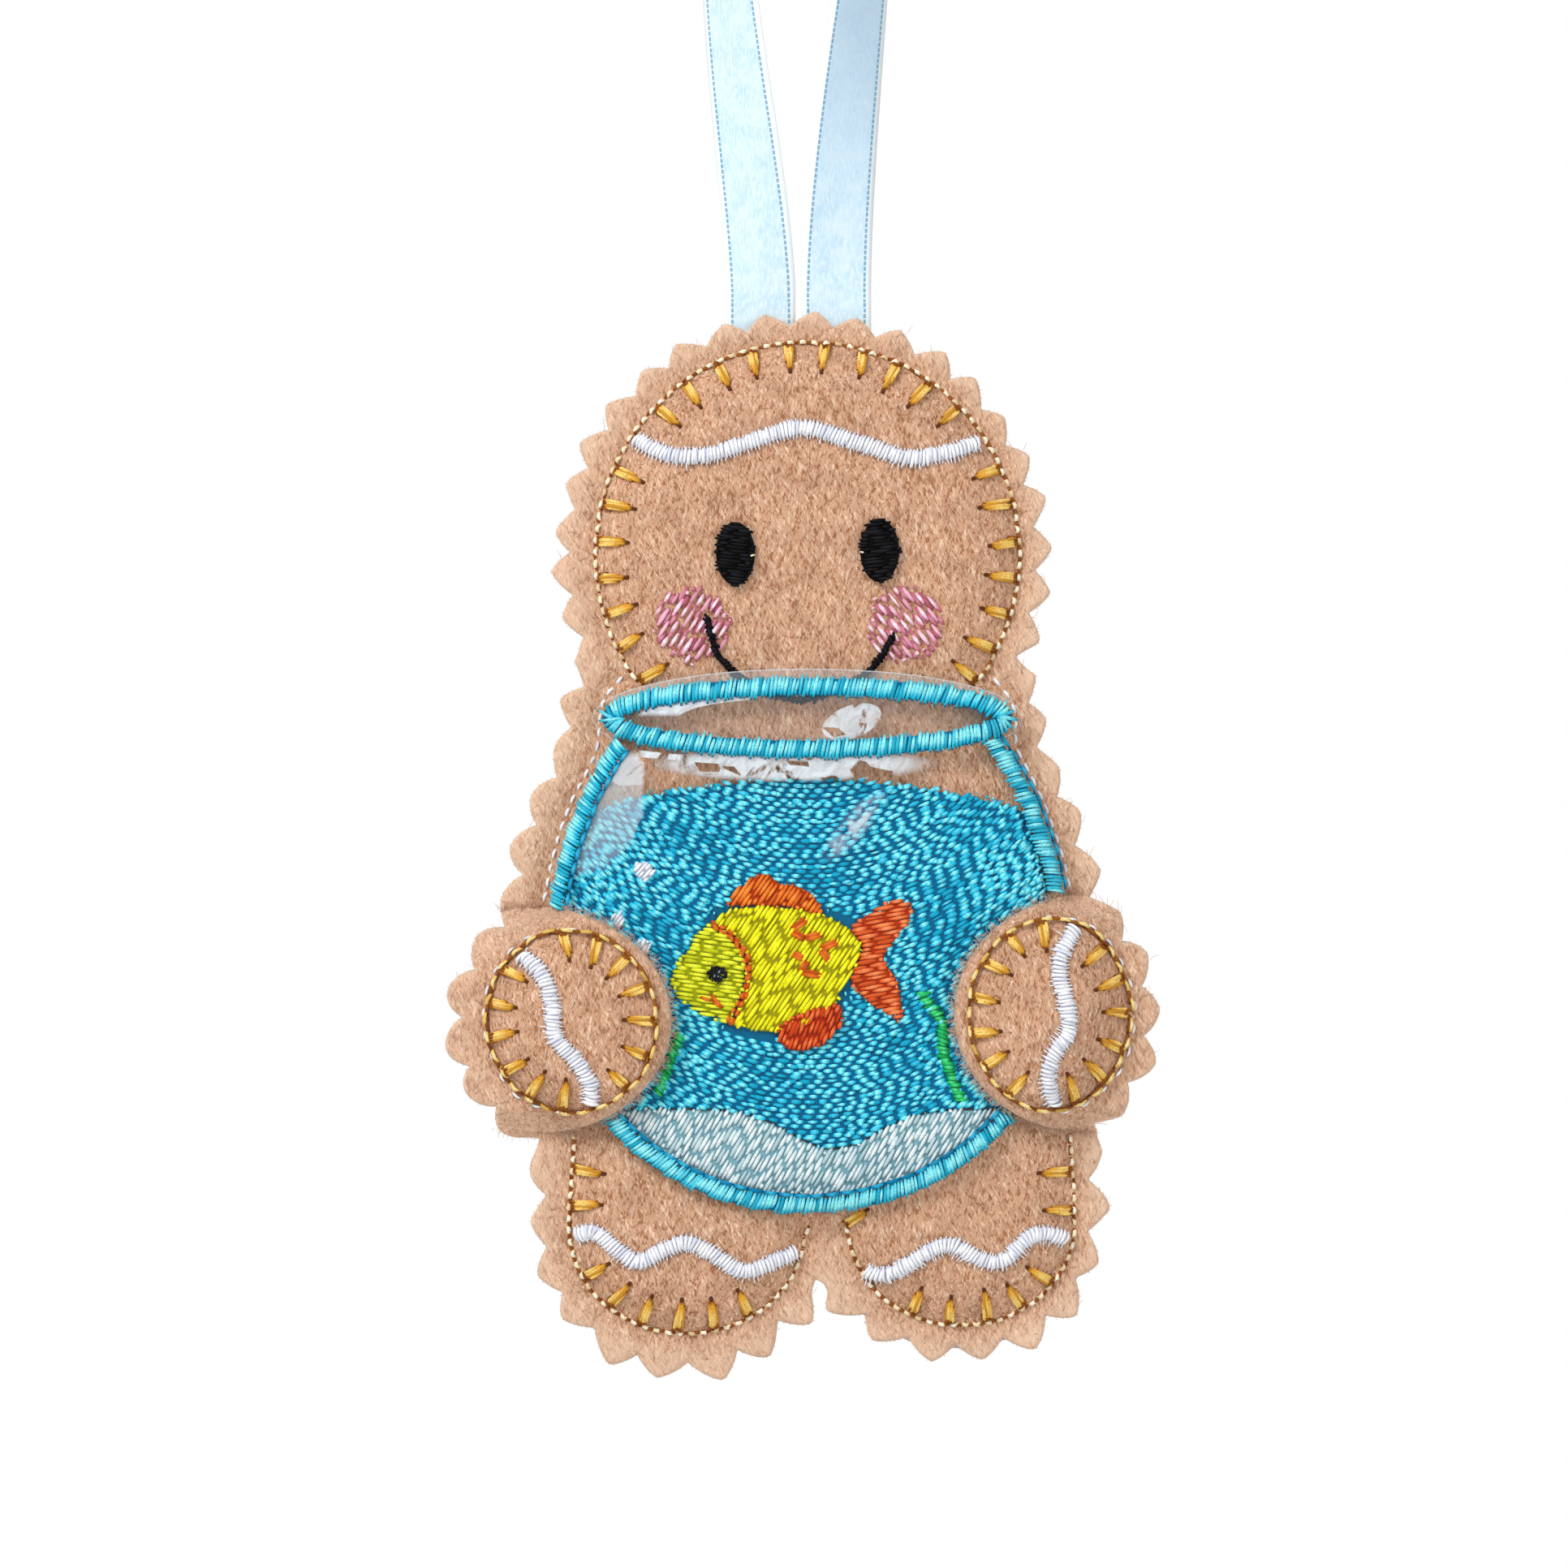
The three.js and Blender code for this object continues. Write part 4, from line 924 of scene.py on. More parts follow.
def make_felt_fibres():
    """Matted wool along the lie of the cloth: wisps with painted highlight and pits with painted shade, and a
    paler fuzz with painted highlight where it is cut.
    """
    wool, given, out = new_group("felt_fibres")
    spot = wool.spot()
    mottle = wool.noise(spot, 330, detail=3, roughness=0.6)
    wisps = wool.noise(wool.drawn_out(spot, 5.0, 0.2), 4000, detail=3, roughness=0.6, distortion=1.1)
    strands = wool.noise(wool.drawn_out(spot, 5.5, -0.5), 4600, detail=2, roughness=0.5, distortion=1.2)
    pits = wool.noise(wool.drawn_out(spot, 2.2, 0.2), 3200, detail=2, roughness=0.55, distortion=0.8)
    grain = wool.noise(spot, 9000, detail=2, roughness=0.6)
    fluff = wool.plus(wool.times(wisps, 0.5), wool.times(strands, 0.5))
    finer = wool.plus(wool.times(pits, 0.22), wool.times(grain, 0.1))
    height = wool.plus(wool.times(fluff, 0.72), finer)
    # Painted shade in the low pits and painted highlight on the raised wisps, over the wool's own mottle
    relief_shade_mask = wool.ease(wool.plus(height, wool.times(pits, 0.3)), 0.57, 0.66)
    shade = wool.mix(relief_shade_mask, given["Dark"], given["Body"])
    shade = wool.mix(wool.ease(fluff, 0.52, 0.62), shade, given["Light"])
    shade = wool.mix(1.0, shade, wool.grey(wool.ease(mottle, 0.35, 0.65, 0.92, 1.05)), "MULTIPLY")
    # Painted highlight: where the tone is high, on the cut edge and the flat margin, the felt is painted
    # towards its light dye
    fuzz = wool.times(wool.attribute("tone"), wool.ease(strands, 0.3, 0.6, 0.6, 1.0))
    wool.feed(out["Colour"], wool.mix(fuzz, shade, given["Light"]))
    wool.feed(out["Height"], height)
    wool.feed(out["Roughness"], wool.ease(height, 0.4, 0.7, 1.0, 0.85))
    return wool.tree


def make_thread_tones():
    """Rayon thread: each stitch has its own tone, with a painted highlight where it bows up and painted shade
    where it dives in.
    """
    yarn, given, out = new_group("thread_tones", Sheen=0.7)
    spot, tone = yarn.spot(), yarn.attribute("tone")
    off_centre = yarn.unsigned(yarn.minus(yarn.times(yarn.attribute("along"), 2.0), 1.0))
    # Painted shade near each stitch's ends, where it dives in, and painted highlight in its middle
    ends, middle = yarn.ease(off_centre, 0.72, 1.0), yarn.ease(off_centre, 0.75, 0.1)
    plies = yarn.noise(yarn.turned(spot, turn=(0, 0.8, 0)), 5200, detail=2, roughness=0.5, distortion=0.6)
    strands = yarn.noise(spot, 7400, detail=2, roughness=0.5, distortion=0.8)
    painted_highlight = yarn.times(yarn.ease(yarn.plus(tone, yarn.times(plies, 0.5)), 0.25, 0.95), given["Sheen"])
    shade = yarn.mix(yarn.times(painted_highlight, middle), given["Body"], given["Light"])
    # Painted shade at the ends, with dark tones that differ at random and fine dark strands
    painted_shade_and_tone = yarn.most(yarn.times(ends, 0.95), yarn.ease(tone, 0.35, 0.0, 0.0, 0.45),
                     yarn.ease(strands, 0.46, 0.34, 0.0, 0.6))
    yarn.feed(out["Colour"], yarn.mix(painted_shade_and_tone, shade, given["Dark"]))
    yarn.feed(out["Height"], plies)
    yarn.feed(out["Roughness"], yarn.ease(plies, 0.3, 0.7, 0.32, 0.45))
    return yarn.tree


FELT_FIBRES = make_felt_fibres()
THREAD_TONES = make_thread_tones()


def finished(name, group, values, relief, **shader_values):
    """A material whose colour, roughness and relief come from a group, with plain values on the shader."""
    material = bpy.data.materials.new(name)
    recipe = recipe_of(material)
    cloth = recipe.place("ShaderNodeGroup", node_tree=group)
    for label, value in values.items():
        cloth.inputs[label].default_value = value
    given = cloth.outputs
    recipe.surface(given["Colour"], given["Roughness"], given["Height"], relief, **shader_values)
    return material


def felt_finish(name, body, light, dark):
    dyes = {"Body": dye(*body), "Light": dye(*light), "Dark": dye(*dark)}
    return finished(name, FELT_FIBRES, dyes, 0.00032, Sheen_Weight=0.1, Sheen_Roughness=0.5,
                    Specular_IOR_Level=0.15)


def thread_finish(name, body, light, dark, sheen=0.9):
    values = {"Body": dye(*body), "Light": dye(*light), "Dark": dye(*dark), "Sheen": sheen}
    return finished(name, THREAD_TONES, values, 0.00004, Specular_IOR_Level=0.07)


gingerbread_felt = felt_finish("gingerbread_felt", (211, 164, 132), (243, 208, 180), (166, 113, 80))
polyester_wadding = felt_finish("polyester_wadding", (240, 238, 232), (250, 250, 248), (215, 212, 205))
stabiliser_paper = felt_finish("stabiliser_paper", (238, 238, 236), (248, 248, 248), (220, 220, 218))

# Each thread's own dye, where it catches the light, where it lies in shade, and its sheen if it isn't full
THREAD_DYES = {
    "water": ((12, 204, 242), (150, 252, 255), (0, 88, 130)),
    "turquoise": ((40, 202, 232), (164, 252, 255), (0, 94, 136)),
    "shaded_turquoise": ((10, 140, 190), (60, 190, 225), (0, 84, 120)),
    "sand": ((212, 234, 238), (248, 255, 255), (116, 166, 180)),
    "lime": ((228, 232, 22), (248, 252, 66), (146, 154, 0)),
    "yellow": ((244, 238, 6), (255, 255, 40), (150, 142, 0)),
    "orange": ((240, 112, 22), (255, 152, 56), (166, 48, 0)),
    "coral": ((232, 98, 36), (252, 150, 92), (168, 46, 6)),
    "crimson": ((222, 78, 18), (244, 120, 60), (156, 34, 0)),
    "amber_red": ((208, 88, 14), (234, 124, 36), (150, 50, 0)),
    "black": ((12, 12, 14), (36, 36, 42), (3, 3, 4), 0.5),
    "white": ((246, 248, 252), (255, 255, 255), (196, 200, 220)),
    "green": ((8, 190, 96), (92, 238, 152), (2, 122, 66)),
    "pink": ((244, 184, 206), (255, 236, 248), (184, 92, 112)),
    "rose": ((196, 106, 126), (224, 146, 170), (146, 70, 80)),
    "gold": ((226, 166, 58), (255, 220, 128), (134, 74, 14)),
    "amber": ((242, 202, 104), (255, 236, 168), (146, 88, 24)),
    "cream": ((255, 238, 192), (255, 252, 236), (176, 116, 60)),
    "russet": ((140, 78, 30), (176, 112, 50), (92, 46, 16), 0.4),
}
threads = {name: thread_finish(name + "_thread", *dyes) for name, dyes in THREAD_DYES.items()}
# Painted shade: a dark brown thread stands for the shade in the needle holes
threads["hole"] = thread_finish("needle_hole_shade", (96, 52, 26), (112, 66, 36), (70, 36, 16), 0.1)


# The ribbon's stitched lines: their distance from its middle, and half a dash and its gap, in millimetres
LINE_PLACE = 2.84
HALF_DASH_PITCH = 0.28


def ribbon_finish():
    """Satin ribbon: a smooth weave, woven selvages and a finely stitched line inside each."""
    material = bpy.data.materials.new("ice_blue_satin")
    satin = recipe_of(material)
    spot, along = satin.spot(), satin.attribute("along")
    off_middle = satin.unsigned(satin.attribute("tone"))
    drawn_down = satin.turned(spot, scale=(1.0, 1.0, 0.25))
    weave = satin.noise(drawn_down, 5200, detail=3, roughness=0.6, distortion=0.3)
    cloud = satin.noise(spot, 420, detail=3, roughness=0.55)
    body = satin.mix(satin.ease(cloud, 0.35, 0.7), dye(190, 222, 242), dye(212, 236, 248))
    body = satin.mix(satin.ease(weave, 0.35, 0.75), body, dye(228, 244, 252))
    is_dash = satin.ease(satin.maths("PINGPONG", along, HALF_DASH_PITCH), 0.06, 0.14)
    beside_line = satin.unsigned(satin.minus(off_middle, LINE_PLACE))
    line = satin.times(satin.ease(beside_line, 0.16, 0.06), is_dash)

    # Painted shade: the right leg, turned away from the light, is painted a deeper blue, which fades towards
    # its foot
    right_leg = satin.times(satin.ease(along, 82.0, 96.0), satin.ease(along, 168.0, 140.0))
    body = satin.mix(satin.times(right_leg, 0.55), body, dye(176, 208, 234))
    selvage = satin.ease(off_middle, 2.92, 3.02)
    shade = satin.mix(selvage, body, dye(240, 249, 253))
    shade = satin.mix(satin.times(line, 0.85), shade, dye(96, 160, 196))
    satin.surface(shade, satin.ease(satin.plus(selvage, weave), 0.3, 1.6, 0.32, 0.6),
                  satin.plus(satin.times(weave, 0.3), satin.times(line, -1.0)), 0.00006,
                  Specular_IOR_Level=0.5, Anisotropic=0.4)
    return material


ice_blue_satin = ribbon_finish()


# Ribbon: the free loop, and the two ends sewn in between the felts

def ribbon_skin(work, centres, wide, thick, columns=13, swell=0.0):
    """A flat ribbon along a row of centres, faintly cupped, with rounded edges and crisp ends."""
    near = [centres[0] + (centres[1] - centres[0]) * 0.03, centres[-1] + (centres[-2] - centres[-1]) * 0.03]
    centres = np.vstack([centres[:1], near[:1], centres[1:-1], near[1:], centres[-1:]])
    wide, thick = (np.vstack([each[:1], each, each[-1:]]) for each in (wide, thick))
    spread = np.linspace(-1, 1, columns)
    half = RIBBON_WIDTH / 2
    cup = 0.12 * (1 - spread ** 2)
    edge = np.where(np.abs(spread) > 0.98, 0.35, 1.0) * RIBBON_THICKNESS / 2 + swell
    passed = np.concatenate([[0], np.cumsum(np.linalg.norm(np.diff(centres, axis=0), axis=1))])
    face = centres[:, None] + wide[:, None] * (spread * half)[None, :, None]
    top = face + thick[:, None] * (edge + cup - 0.06)[None, :, None]
    under = face + thick[:, None] * (cup - 0.06 - edge)[None, :, None]
    ring = np.concatenate([top, under[:, ::-1]], axis=1)
    rows, size = ring.shape[:2]
    index = np.arange(rows * size).reshape(rows, size)
    quads = ring_quads(index, axis=0)
    tones = np.tile(np.concatenate([spread, spread[::-1]]) * half, rows)
    start = work.count
    work.add(ring, quads, 0, tones, np.repeat(passed, size))
    for cap in (index[0, ::-1], index[-1]):
        work.faces.append((cap + start).tolist())
        work.finishes.append(0)


def ribbon_frames(line):
    """Places, widths and faces of the ribbon along its loop, twisted half round at the top."""
    centres = smooth_line(line, 0.8)
    ahead = unit(np.gradient(centres, axis=0))
    ahead[0], ahead[-1] = (0, 1), (0, -1)
    share = np.linspace(0, 1, len(centres))
    twist = math.pi / 2 * (1 - np.abs(2 * share - 1)) ** 0.85
    outward = np.column_stack([-ahead[:, 1], np.zeros(len(ahead)), ahead[:, 0]])
    viewer = np.tile([0.0, 1.0, 0.0], (len(ahead), 1))
    wide = -outward * np.cos(twist)[:, None] + viewer * np.sin(twist)[:, None]
    thick = outward * np.sin(twist)[:, None] + viewer * np.cos(twist)[:, None]
    return np.column_stack([centres[:, 0], np.zeros(len(centres)), centres[:, 1]]), wide, thick


def in_row(points):
    """Places of the figure as points in the row frame, in metres."""
    return [(x * MM, -y * MM, (z + FIGURE_DROP) * MM) for x, y, z in points]


def make_ribbon_loop():
    centres, wide, thick = ribbon_frames(np.asarray(RIBBON_ROUTE) + [0, HINGE_HEIGHT])
    work = Work()
    ribbon_skin(work, centres, wide, thick)
    loop = work.finish("ribbon_hanging_loop", "hanger", ["ribbon_loop"], [ice_blue_satin])
    path = in_row(centres)
    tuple(path[0])
    line_length(centres) * MM


def make_ribbon_end(x, name, node):
    """A straight end that starts just above the fold and reaches down between the felts."""
    heights = np.linspace(HINGE_HEIGHT + 0.1, RIBBON_END_FOOT, 12)
    upright = np.ones((len(heights), 1))
    centres = np.column_stack([upright * x, upright * 0, heights])
    work = Work()
    ribbon_skin(work, centres, upright * [1.0, 0, 0], upright * [0, 1.0, 0], swell=0.03)
    work.finish(name, "ornament", [node], [ice_blue_satin])


make_ribbon_loop()
make_ribbon_end(LEFT_RIBBON_PLACE, "ribbon_end_left", "ribbon_tail_left")
make_ribbon_end(RIGHT_RIBBON_PLACE, "ribbon_end_right", "ribbon_tail_right")


# Felts, wadding and stabiliser

def pinked_outline(points_per_tooth=14):
    """The cut edge: pointed teeth round the head, blunter ones at the sides, uneven ones round the legs."""
    loop = even_loop(cut_distance, EDGE_MARGIN - TOOTH_DEPTH / 2, 0.1)
    numbers = np.arange(len(loop))
    head = ramp(loop[:, 1], NECK_HEIGHT - 4, NECK_HEIGHT + 2)
    teeth_passed = np.cumsum(1 / blend(LOBE_PITCH, TOOTH_PITCH, head)) * line_length(loop, True) / len(loop)
    teeth = round(teeth_passed[-1])
    phase = np.arange(teeth * points_per_tooth) / points_per_tooth
    at = np.interp(phase, teeth_passed * teeth / teeth_passed[-1], numbers)
    places = np.column_stack([np.interp(at, numbers, loop[:, k]) for k in (0, 1)])
    x, z = places.T

    # How pointed a tooth is: fully at the head and feet, partly at the sides, and more on the right
    foot = ramp(-z, -17.0, -12.0)
    side = 0.3 + 0.4 * ramp(x, -10, 10)
    pointed = np.max([np.interp(at, numbers, head), foot, side], axis=0)

    # Each tooth has its own height and lean
    whim = np.array([[dice.uniform(-0.3, 0.25), dice.uniform(-0.11, 0.11)] for _ in range(teeth)])
    taller, lean = whim[np.floor(phase).astype(int) % teeth].T
    share = phase % 1
    leaning = np.where(share < 0.5 + lean, share / (1 + 2 * lean), 1 - (1 - share) / (1 - 2 * lean))
    off_middle = np.abs(2 * leaning - 1)
    rise = blend(1 - off_middle ** 2.4, 1 - off_middle ** 1.3, pointed)
    offset = (rise - 0.5) * (TOOTH_DEPTH + 0.55 * foot) + taller * rise * (1 + 1.2 * foot)

    # Below the seam's foot the left leg is cut wider and the right one closer
    offset += ramp(-z, 0.0, 4.0) * np.where(x < 1.5, 0.9, -0.5)
    return places + outward_normals(cut_distance, places) * offset[:, None]


def even_grid(loop, pitch, passes):
    """Evenly spread points in the box of a closed line that pass a test."""
    low, high = loop.min(axis=0), loop.max(axis=0)
    xs, zs = np.arange(low[0], high[0], pitch), np.arange(low[1], high[1], pitch * ROW_SHARE)
    grid = np.array([(x + (j % 2) * pitch / 2, z) for j, z in enumerate(zs) for x in xs])
    return grid[passes(*grid.T)]


def draped_sheet(work, loop, pitch, top, bottom, insets=(0, 0.14, 0.4, 0.9), drops=(0.36, 0.13, 0.02, 0),
                 fuzz=(1, 0.75, 0.3, 0), pale=lambda x, z: 0.0):
    """A sheet over a closed outline, between a bottom and a top, with its cut edge rounded over.

    Drops and fuzz say how far the face drops, and how pale it is painted, at each of the insets; the pale cut
    edge is painted highlight.
    """
    rings = outline_rings(loop, insets)
    size = len(loop)
    inner = inset_loop(loop, insets[-1] + pitch * 0.45)
    given = np.vstack(rings + [even_grid(rings[-1], pitch, inside_loop(inner))])
    edges = [(k * size + i, k * size + (i + 1) % size) for k in range(len(rings)) for i in range(size)]
    points, _, faces, origins, _, _ = delaunay_2d_cdt([Vector(p) for p in given], edges, [], 1, 1e-5)
    points = np.array([(p.x, p.y) for p in points])
    level = np.array([min(o[0] // size, len(rings)) if o else len(rings) for o in origins])
    drop = np.append(drops, 0)[level]
    tone = np.maximum(np.append(fuzz, 0)[level], pale(*points.T))
    x, z = points.T
    above, below = top(x, z), bottom(x, z)
    squeeze = np.minimum(drop, (above - below) * 0.42)
    upper = np.column_stack([x, above - squeeze, z])
    lower = np.column_stack([x, below + squeeze, z])

    # All faces turn the same way, outwards
    faces = np.array([face for face in faces if len(face) == 3])
    a, b, c = points[faces[:, 0]], points[faces[:, 1]], points[faces[:, 2]]
    turn = (b[:, 0] - a[:, 0]) * (c[:, 1] - a[:, 1]) - (b[:, 1] - a[:, 1]) * (c[:, 0] - a[:, 0])
    faces[turn < 0] = faces[turn < 0][:, ::-1]
    outer = np.full(size, -1)
    for i, origin in enumerate(origins):
        for o in origin:
            if o < size:
                outer[o] = i
    count, start = len(points), work.count
    following = np.roll(outer, -1)
    walls = np.column_stack([outer, outer + count, following + count, following])
    if work.side > 0:
        faces, walls = faces[:, ::-1], walls[:, ::-1]
    both_faces = np.vstack([faces, faces[:, ::-1] + count])
    work.add(np.vstack([upper, lower]), both_faces, tone=np.tile(tone, 2))
    work.faces += (walls + start).tolist()
    work.finishes += [0] * size


# The felt's face lies a little under its CAD surface, and the nap stands up to it
NAP = 0.05


def seam_dip(x, z):
    """The stitching pulls the felt down along the seam."""
    return 0.28 * np.exp(-(seam_distance(x, z) / 0.8) ** 2)


def rumple(x, z):
    """A faint unevenness of hand-cut felt over wadding."""
    return (0.07 * np.sin(x * 0.9 + 1.3 * np.sin(z * 0.45)) * np.sin(z * 0.8 + 1.1)
            + 0.04 * np.sin(x * 1.9 + 0.7) * np.sin(z * 1.7 + np.sin(x * 0.6)))


def front_top(x, z):
    return felt_surface(x, z) - seam_dip(x, z) + rumple(x, z) - NAP


def front_under(x, z):
    return felt_surface(x, z) - FELT_THICKNESS


def back_top(x, z):
    return back_surface(x, z) - seam_dip(x, z) + rumple(x, z) - NAP


def back_under(x, z):
    return back_surface(x, z) - FELT_THICKNESS


CUT_EDGE = pinked_outline()
CUT_AREA = polygon_area(CUT_EDGE) * MM * MM


def painted_margin_light(x, z):
    """Painted light: the flat margin outside the seam catches more light, and is painted paler, the more so
    towards the right.
    """
    return (0.68 + 0.32 * ramp(x, 8, 24)) * ramp(seam_distance(x, z), 0.2, 3.0)


def make_felt(name, node, side, top, under):
    work = Work(side)
    draped_sheet(work, CUT_EDGE, 1.0, top, under, pale=painted_margin_light)
    felt = work.finish(name, "ornament", [node], [gingerbread_felt])
    return felt


front_sheet = make_felt("front_sheet", "front_felt", -1, front_top, front_under)
back_sheet = make_felt("back_sheet", "back_felt", 1, back_top, back_under)


def patch_outline(patch):
    """The cut edge on the outer side, closed by the rounded edge that lies over the bowl."""
    egg = ellipse_loop(patch.x, patch.z, patch.half_width, patch.rise, 0.35)
    outer = longest_run(CUT_EDGE, lambda loop: egg_distance(*loop.T, patch) < -0.1)
    inner = longest_run(egg, lambda loop: cut_distance(*loop.T) < EDGE_MARGIN - TOOTH_DEPTH)
    outer = outer - outward_normals(cut_distance, outer) * 0.05
    return np.vstack([outer, inner])


def patch_top(hand, patch):
    """The upper face: it thins out to nothing where its edge lies on the front felt, away from the bowl."""
    outward = math.copysign(1, hand.x)

    def top(x, z):
        whole = (patch_underside(x, z) + FELT_THICKNESS + rumple(z, x) * 0.8 - NAP
                 - 0.25 * np.exp(-(egg_distance(x, z, hand) / 0.8) ** 2)
                 - 0.55 * ramp(egg_distance(x, z, patch), -1.2, 0.0) ** 1.5)
        beside = ramp(outward * (x - hand.x), -1.0, 3.0) * ramp(egg_distance(x, z, patch), -2.2, -0.3)
        return blend(whole, front_top(x, z) + 0.06, beside)
    return top


def patch_bottom(hand, patch):
    top = patch_top(hand, patch)
    return lambda x, z: np.minimum(patch_underside(x, z), top(x, z) - 0.04)


def make_hand_patch(side, hand, patch):
    loop = patch_outline(patch)
    work = Work()
    # Painted light: the patch's margin outside the hand's ring is painted paler
    draped_sheet(work, loop, 0.8, patch_top(hand, patch), patch_bottom(hand, patch),
                 pale=lambda x, z: 0.4 * ramp(egg_distance(x, z, hand), 0.4, 2.0))
    piece = work.finish(side + "_hand_patch", "ornament", [side + "_hand_felt"], [gingerbread_felt])
    polygon_area(loop) * MM * MM


# The nap lies upwards with a slight lean, and a place far outside shows how the felt lies when flat
LIE_OF_CLOTH = math.pi / 2 - 0.25
FAR_OUT = (100.0, 100.0)


def lay_fibres(work, starts, angles, lengths, ground, lift, tone, thickness=0.055):
    """Loose wool fibres, each a thin bent tube that lies on a ground and dips into it at both ends."""
    count, rings = len(starts), 5
    t = np.linspace(0, 1, rings)
    bend = grains.normal(0, 0.9, count)
    turned = angles[:, None] + bend[:, None] * (t - 0.5)
    step = np.stack([np.cos(turned), np.sin(turned)], axis=-1) * (lengths / rings)[:, None, None]
    places = starts[:, None] + np.cumsum(step, axis=1)
    side, up = slope_frames(places, ground, unit(step))
    rise = lift[:, None] * np.sin(math.pi * (0.1 + 0.8 * t)) - 0.02
    centres = on_ground(places, ground) + up * rise[..., None]
    sizes = np.broadcast_to(thickness / 2 * (0.5 + 0.5 * np.sin(math.pi * t)), places.shape[:2])
    tubes(work, centres, side, up, sizes, sizes, sides=3, tone=tone)


def scatter(loop, density):
    low, high = loop.min(axis=0), loop.max(axis=0)
    spots = grains.uniform(low, high, (round(density * np.prod(high - low)), 2))
    return spots[inside_loop(loop)(*spots.T)]


def lay_fluff(work, spots, spread, longest, ground):
    """Fibres that lie on the face of a felt, mostly along the lie of the cloth."""
    count = len(spots)
    lay_fibres(work, spots, grains.normal(LIE_OF_CLOTH, spread, count), grains.uniform(0.7, longest, count),
               ground, grains.uniform(0.02, 0.1, count), grains.uniform(0.1, 0.9, count))


def flat_ground(x, z):
    return np.zeros(np.shape(x))


def edge_fibres(work, loop, field, count, heights):
    """Short fibres that stick out of a cut edge, at any height in the thickness of the cloth."""
    chosen = loop[grains.integers(0, len(loop), count)]
    outward = outward_normals(field, chosen)
    angles = np.arctan2(outward[:, 1], outward[:, 0]) + grains.normal(0, 0.55, count)
    level = grains.uniform(*heights, count)
    start = work.count
    lay_fibres(work, chosen - outward * 0.12, angles, grains.uniform(0.15, 0.38, count), flat_ground,
               level * 0, grains.uniform(0.6, 1, count), 0.045)
    work.points[-1][:, 1] += np.repeat(level, (work.count - start) // count)


def make_fuzz(name, side, top, under, density, patches=()):
    """Fluff on a body felt, but for what hand patches cover, and fibres along its cut edge."""
    work = Work(side)
    spots = scatter(CUT_EDGE - outward_normals(cut_distance, CUT_EDGE) * 0.6, density)
    for patch in patches:
        spots = spots[egg_distance(*spots.T, patch) > 0]
    lay_fluff(work, spots, 0.7, 2.0, top)
    heights = (float(under(*FAR_OUT)) + 0.3, float(top(*FAR_OUT)) - 0.15)
    edge_fibres(work, CUT_EDGE, cut_distance, 1200, heights)
    work.finish(name, "ornament", [], [gingerbread_felt])


make_hand_patch("left", LEFT_HAND, LEFT_PATCH)
make_hand_patch("right", RIGHT_HAND, RIGHT_PATCH)


def vinyl_or_felt(x, z, top, patch):
    """The patch's own top inside its edge, falling to what lies under it outside."""
    past = ramp(egg_distance(x, z, patch), -0.1, 0.7)
    below = np.where(vinyl_distance(x, z) < 0, vinyl_surface(x, z), felt_surface(x, z)) + 0.3
    return blend(top(x, z), below, past)


def make_patch_fuzz(side, hand, patch, fringe_count=900):
    """Fluff on a hand patch, and the soft fringe where its edge lies over the bowl."""
    work = Work()
    top = patch_top(hand, patch)
    spots = scatter(patch_outline(patch), 1.0)
    lay_fluff(work, spots[egg_distance(*spots.T, patch) < -0.4], 0.8, 1.8, top)
    egg = ellipse_loop(patch.x, patch.z, patch.half_width - 0.2, patch.rise - 0.2, 0.1)
    egg = egg[inside_loop(CUT_EDGE)(*egg.T)]
    fringe = egg[grains.integers(0, len(egg), fringe_count)] + grains.normal(0, 0.15, (fringe_count, 2))
    outward = outward_normals(lambda x, z: egg_distance(x, z, patch), fringe)
    angles = np.arctan2(outward[:, 1], outward[:, 0]) + grains.normal(0, 0.8, fringe_count)
    lay_fibres(work, fringe, angles, grains.uniform(0.4, 1.1, fringe_count),
               lambda x, z: vinyl_or_felt(x, z, top, patch), grains.uniform(0.02, 0.25, fringe_count),
               grains.uniform(0.3, 1.0, fringe_count), 0.05)
    work.finish(side + "_hand_fuzz", "ornament", [], [gingerbread_felt])


make_patch_fuzz("left", LEFT_HAND, LEFT_PATCH)
make_patch_fuzz("right", RIGHT_HAND, RIGHT_PATCH)
make_fuzz("front_fuzz", -1, front_top, front_under, 0.9, (LEFT_PATCH, RIGHT_PATCH))
make_fuzz("back_fuzz", 1, back_top, back_under, 0.4)


# Embroidery

def region_box(loop):
    low, high = loop.min(axis=0), loop.max(axis=0)
    return (low[0], high[0]), (low[1], high[1])


def make_threads(name, node, colours, build):
    """A piece of embroidery on the front, in place of one solid."""
    work = Work()
    build(work)
    work.finish(name, "ornament", [node], [threads[colour] for colour in colours])


def painted_shade_bed(work, loop, lift, thickness=0.2, pitch=1.0):
    """A dark bed that shows between the stitches of a fill: painted shade."""
    draped_sheet(work, loop, pitch, lifted(felt_surface, lift + thickness), lifted(felt_surface, lift),
                 insets=(0, 0.15), drops=(thickness * 0.45, 0), fuzz=(0, 0))


def within_band(x, z):
    """Inside the bowl as far as the middle of the satin band that hides the edge of a fill."""
    return bowl_inside(x, z) - 0.45


# The two beds of painted shade in the bowl, and the water's layers of stitches: row pitch, stitch length,
# thread width, lift, shuffle, the share of the stitches that is kept, and the tone
BOWL_SHADE_BED = {"lift": FILL_LIFT, "thickness": 0.22, "pitch": 1.2}
WATER_LAYERS = ((0.5, 1.3, 0.5, 0.2, 0.12, 1.0, 0.48), (0.9, 1.2, 0.44, 0.34, 0.5, 0.4, 0.74))


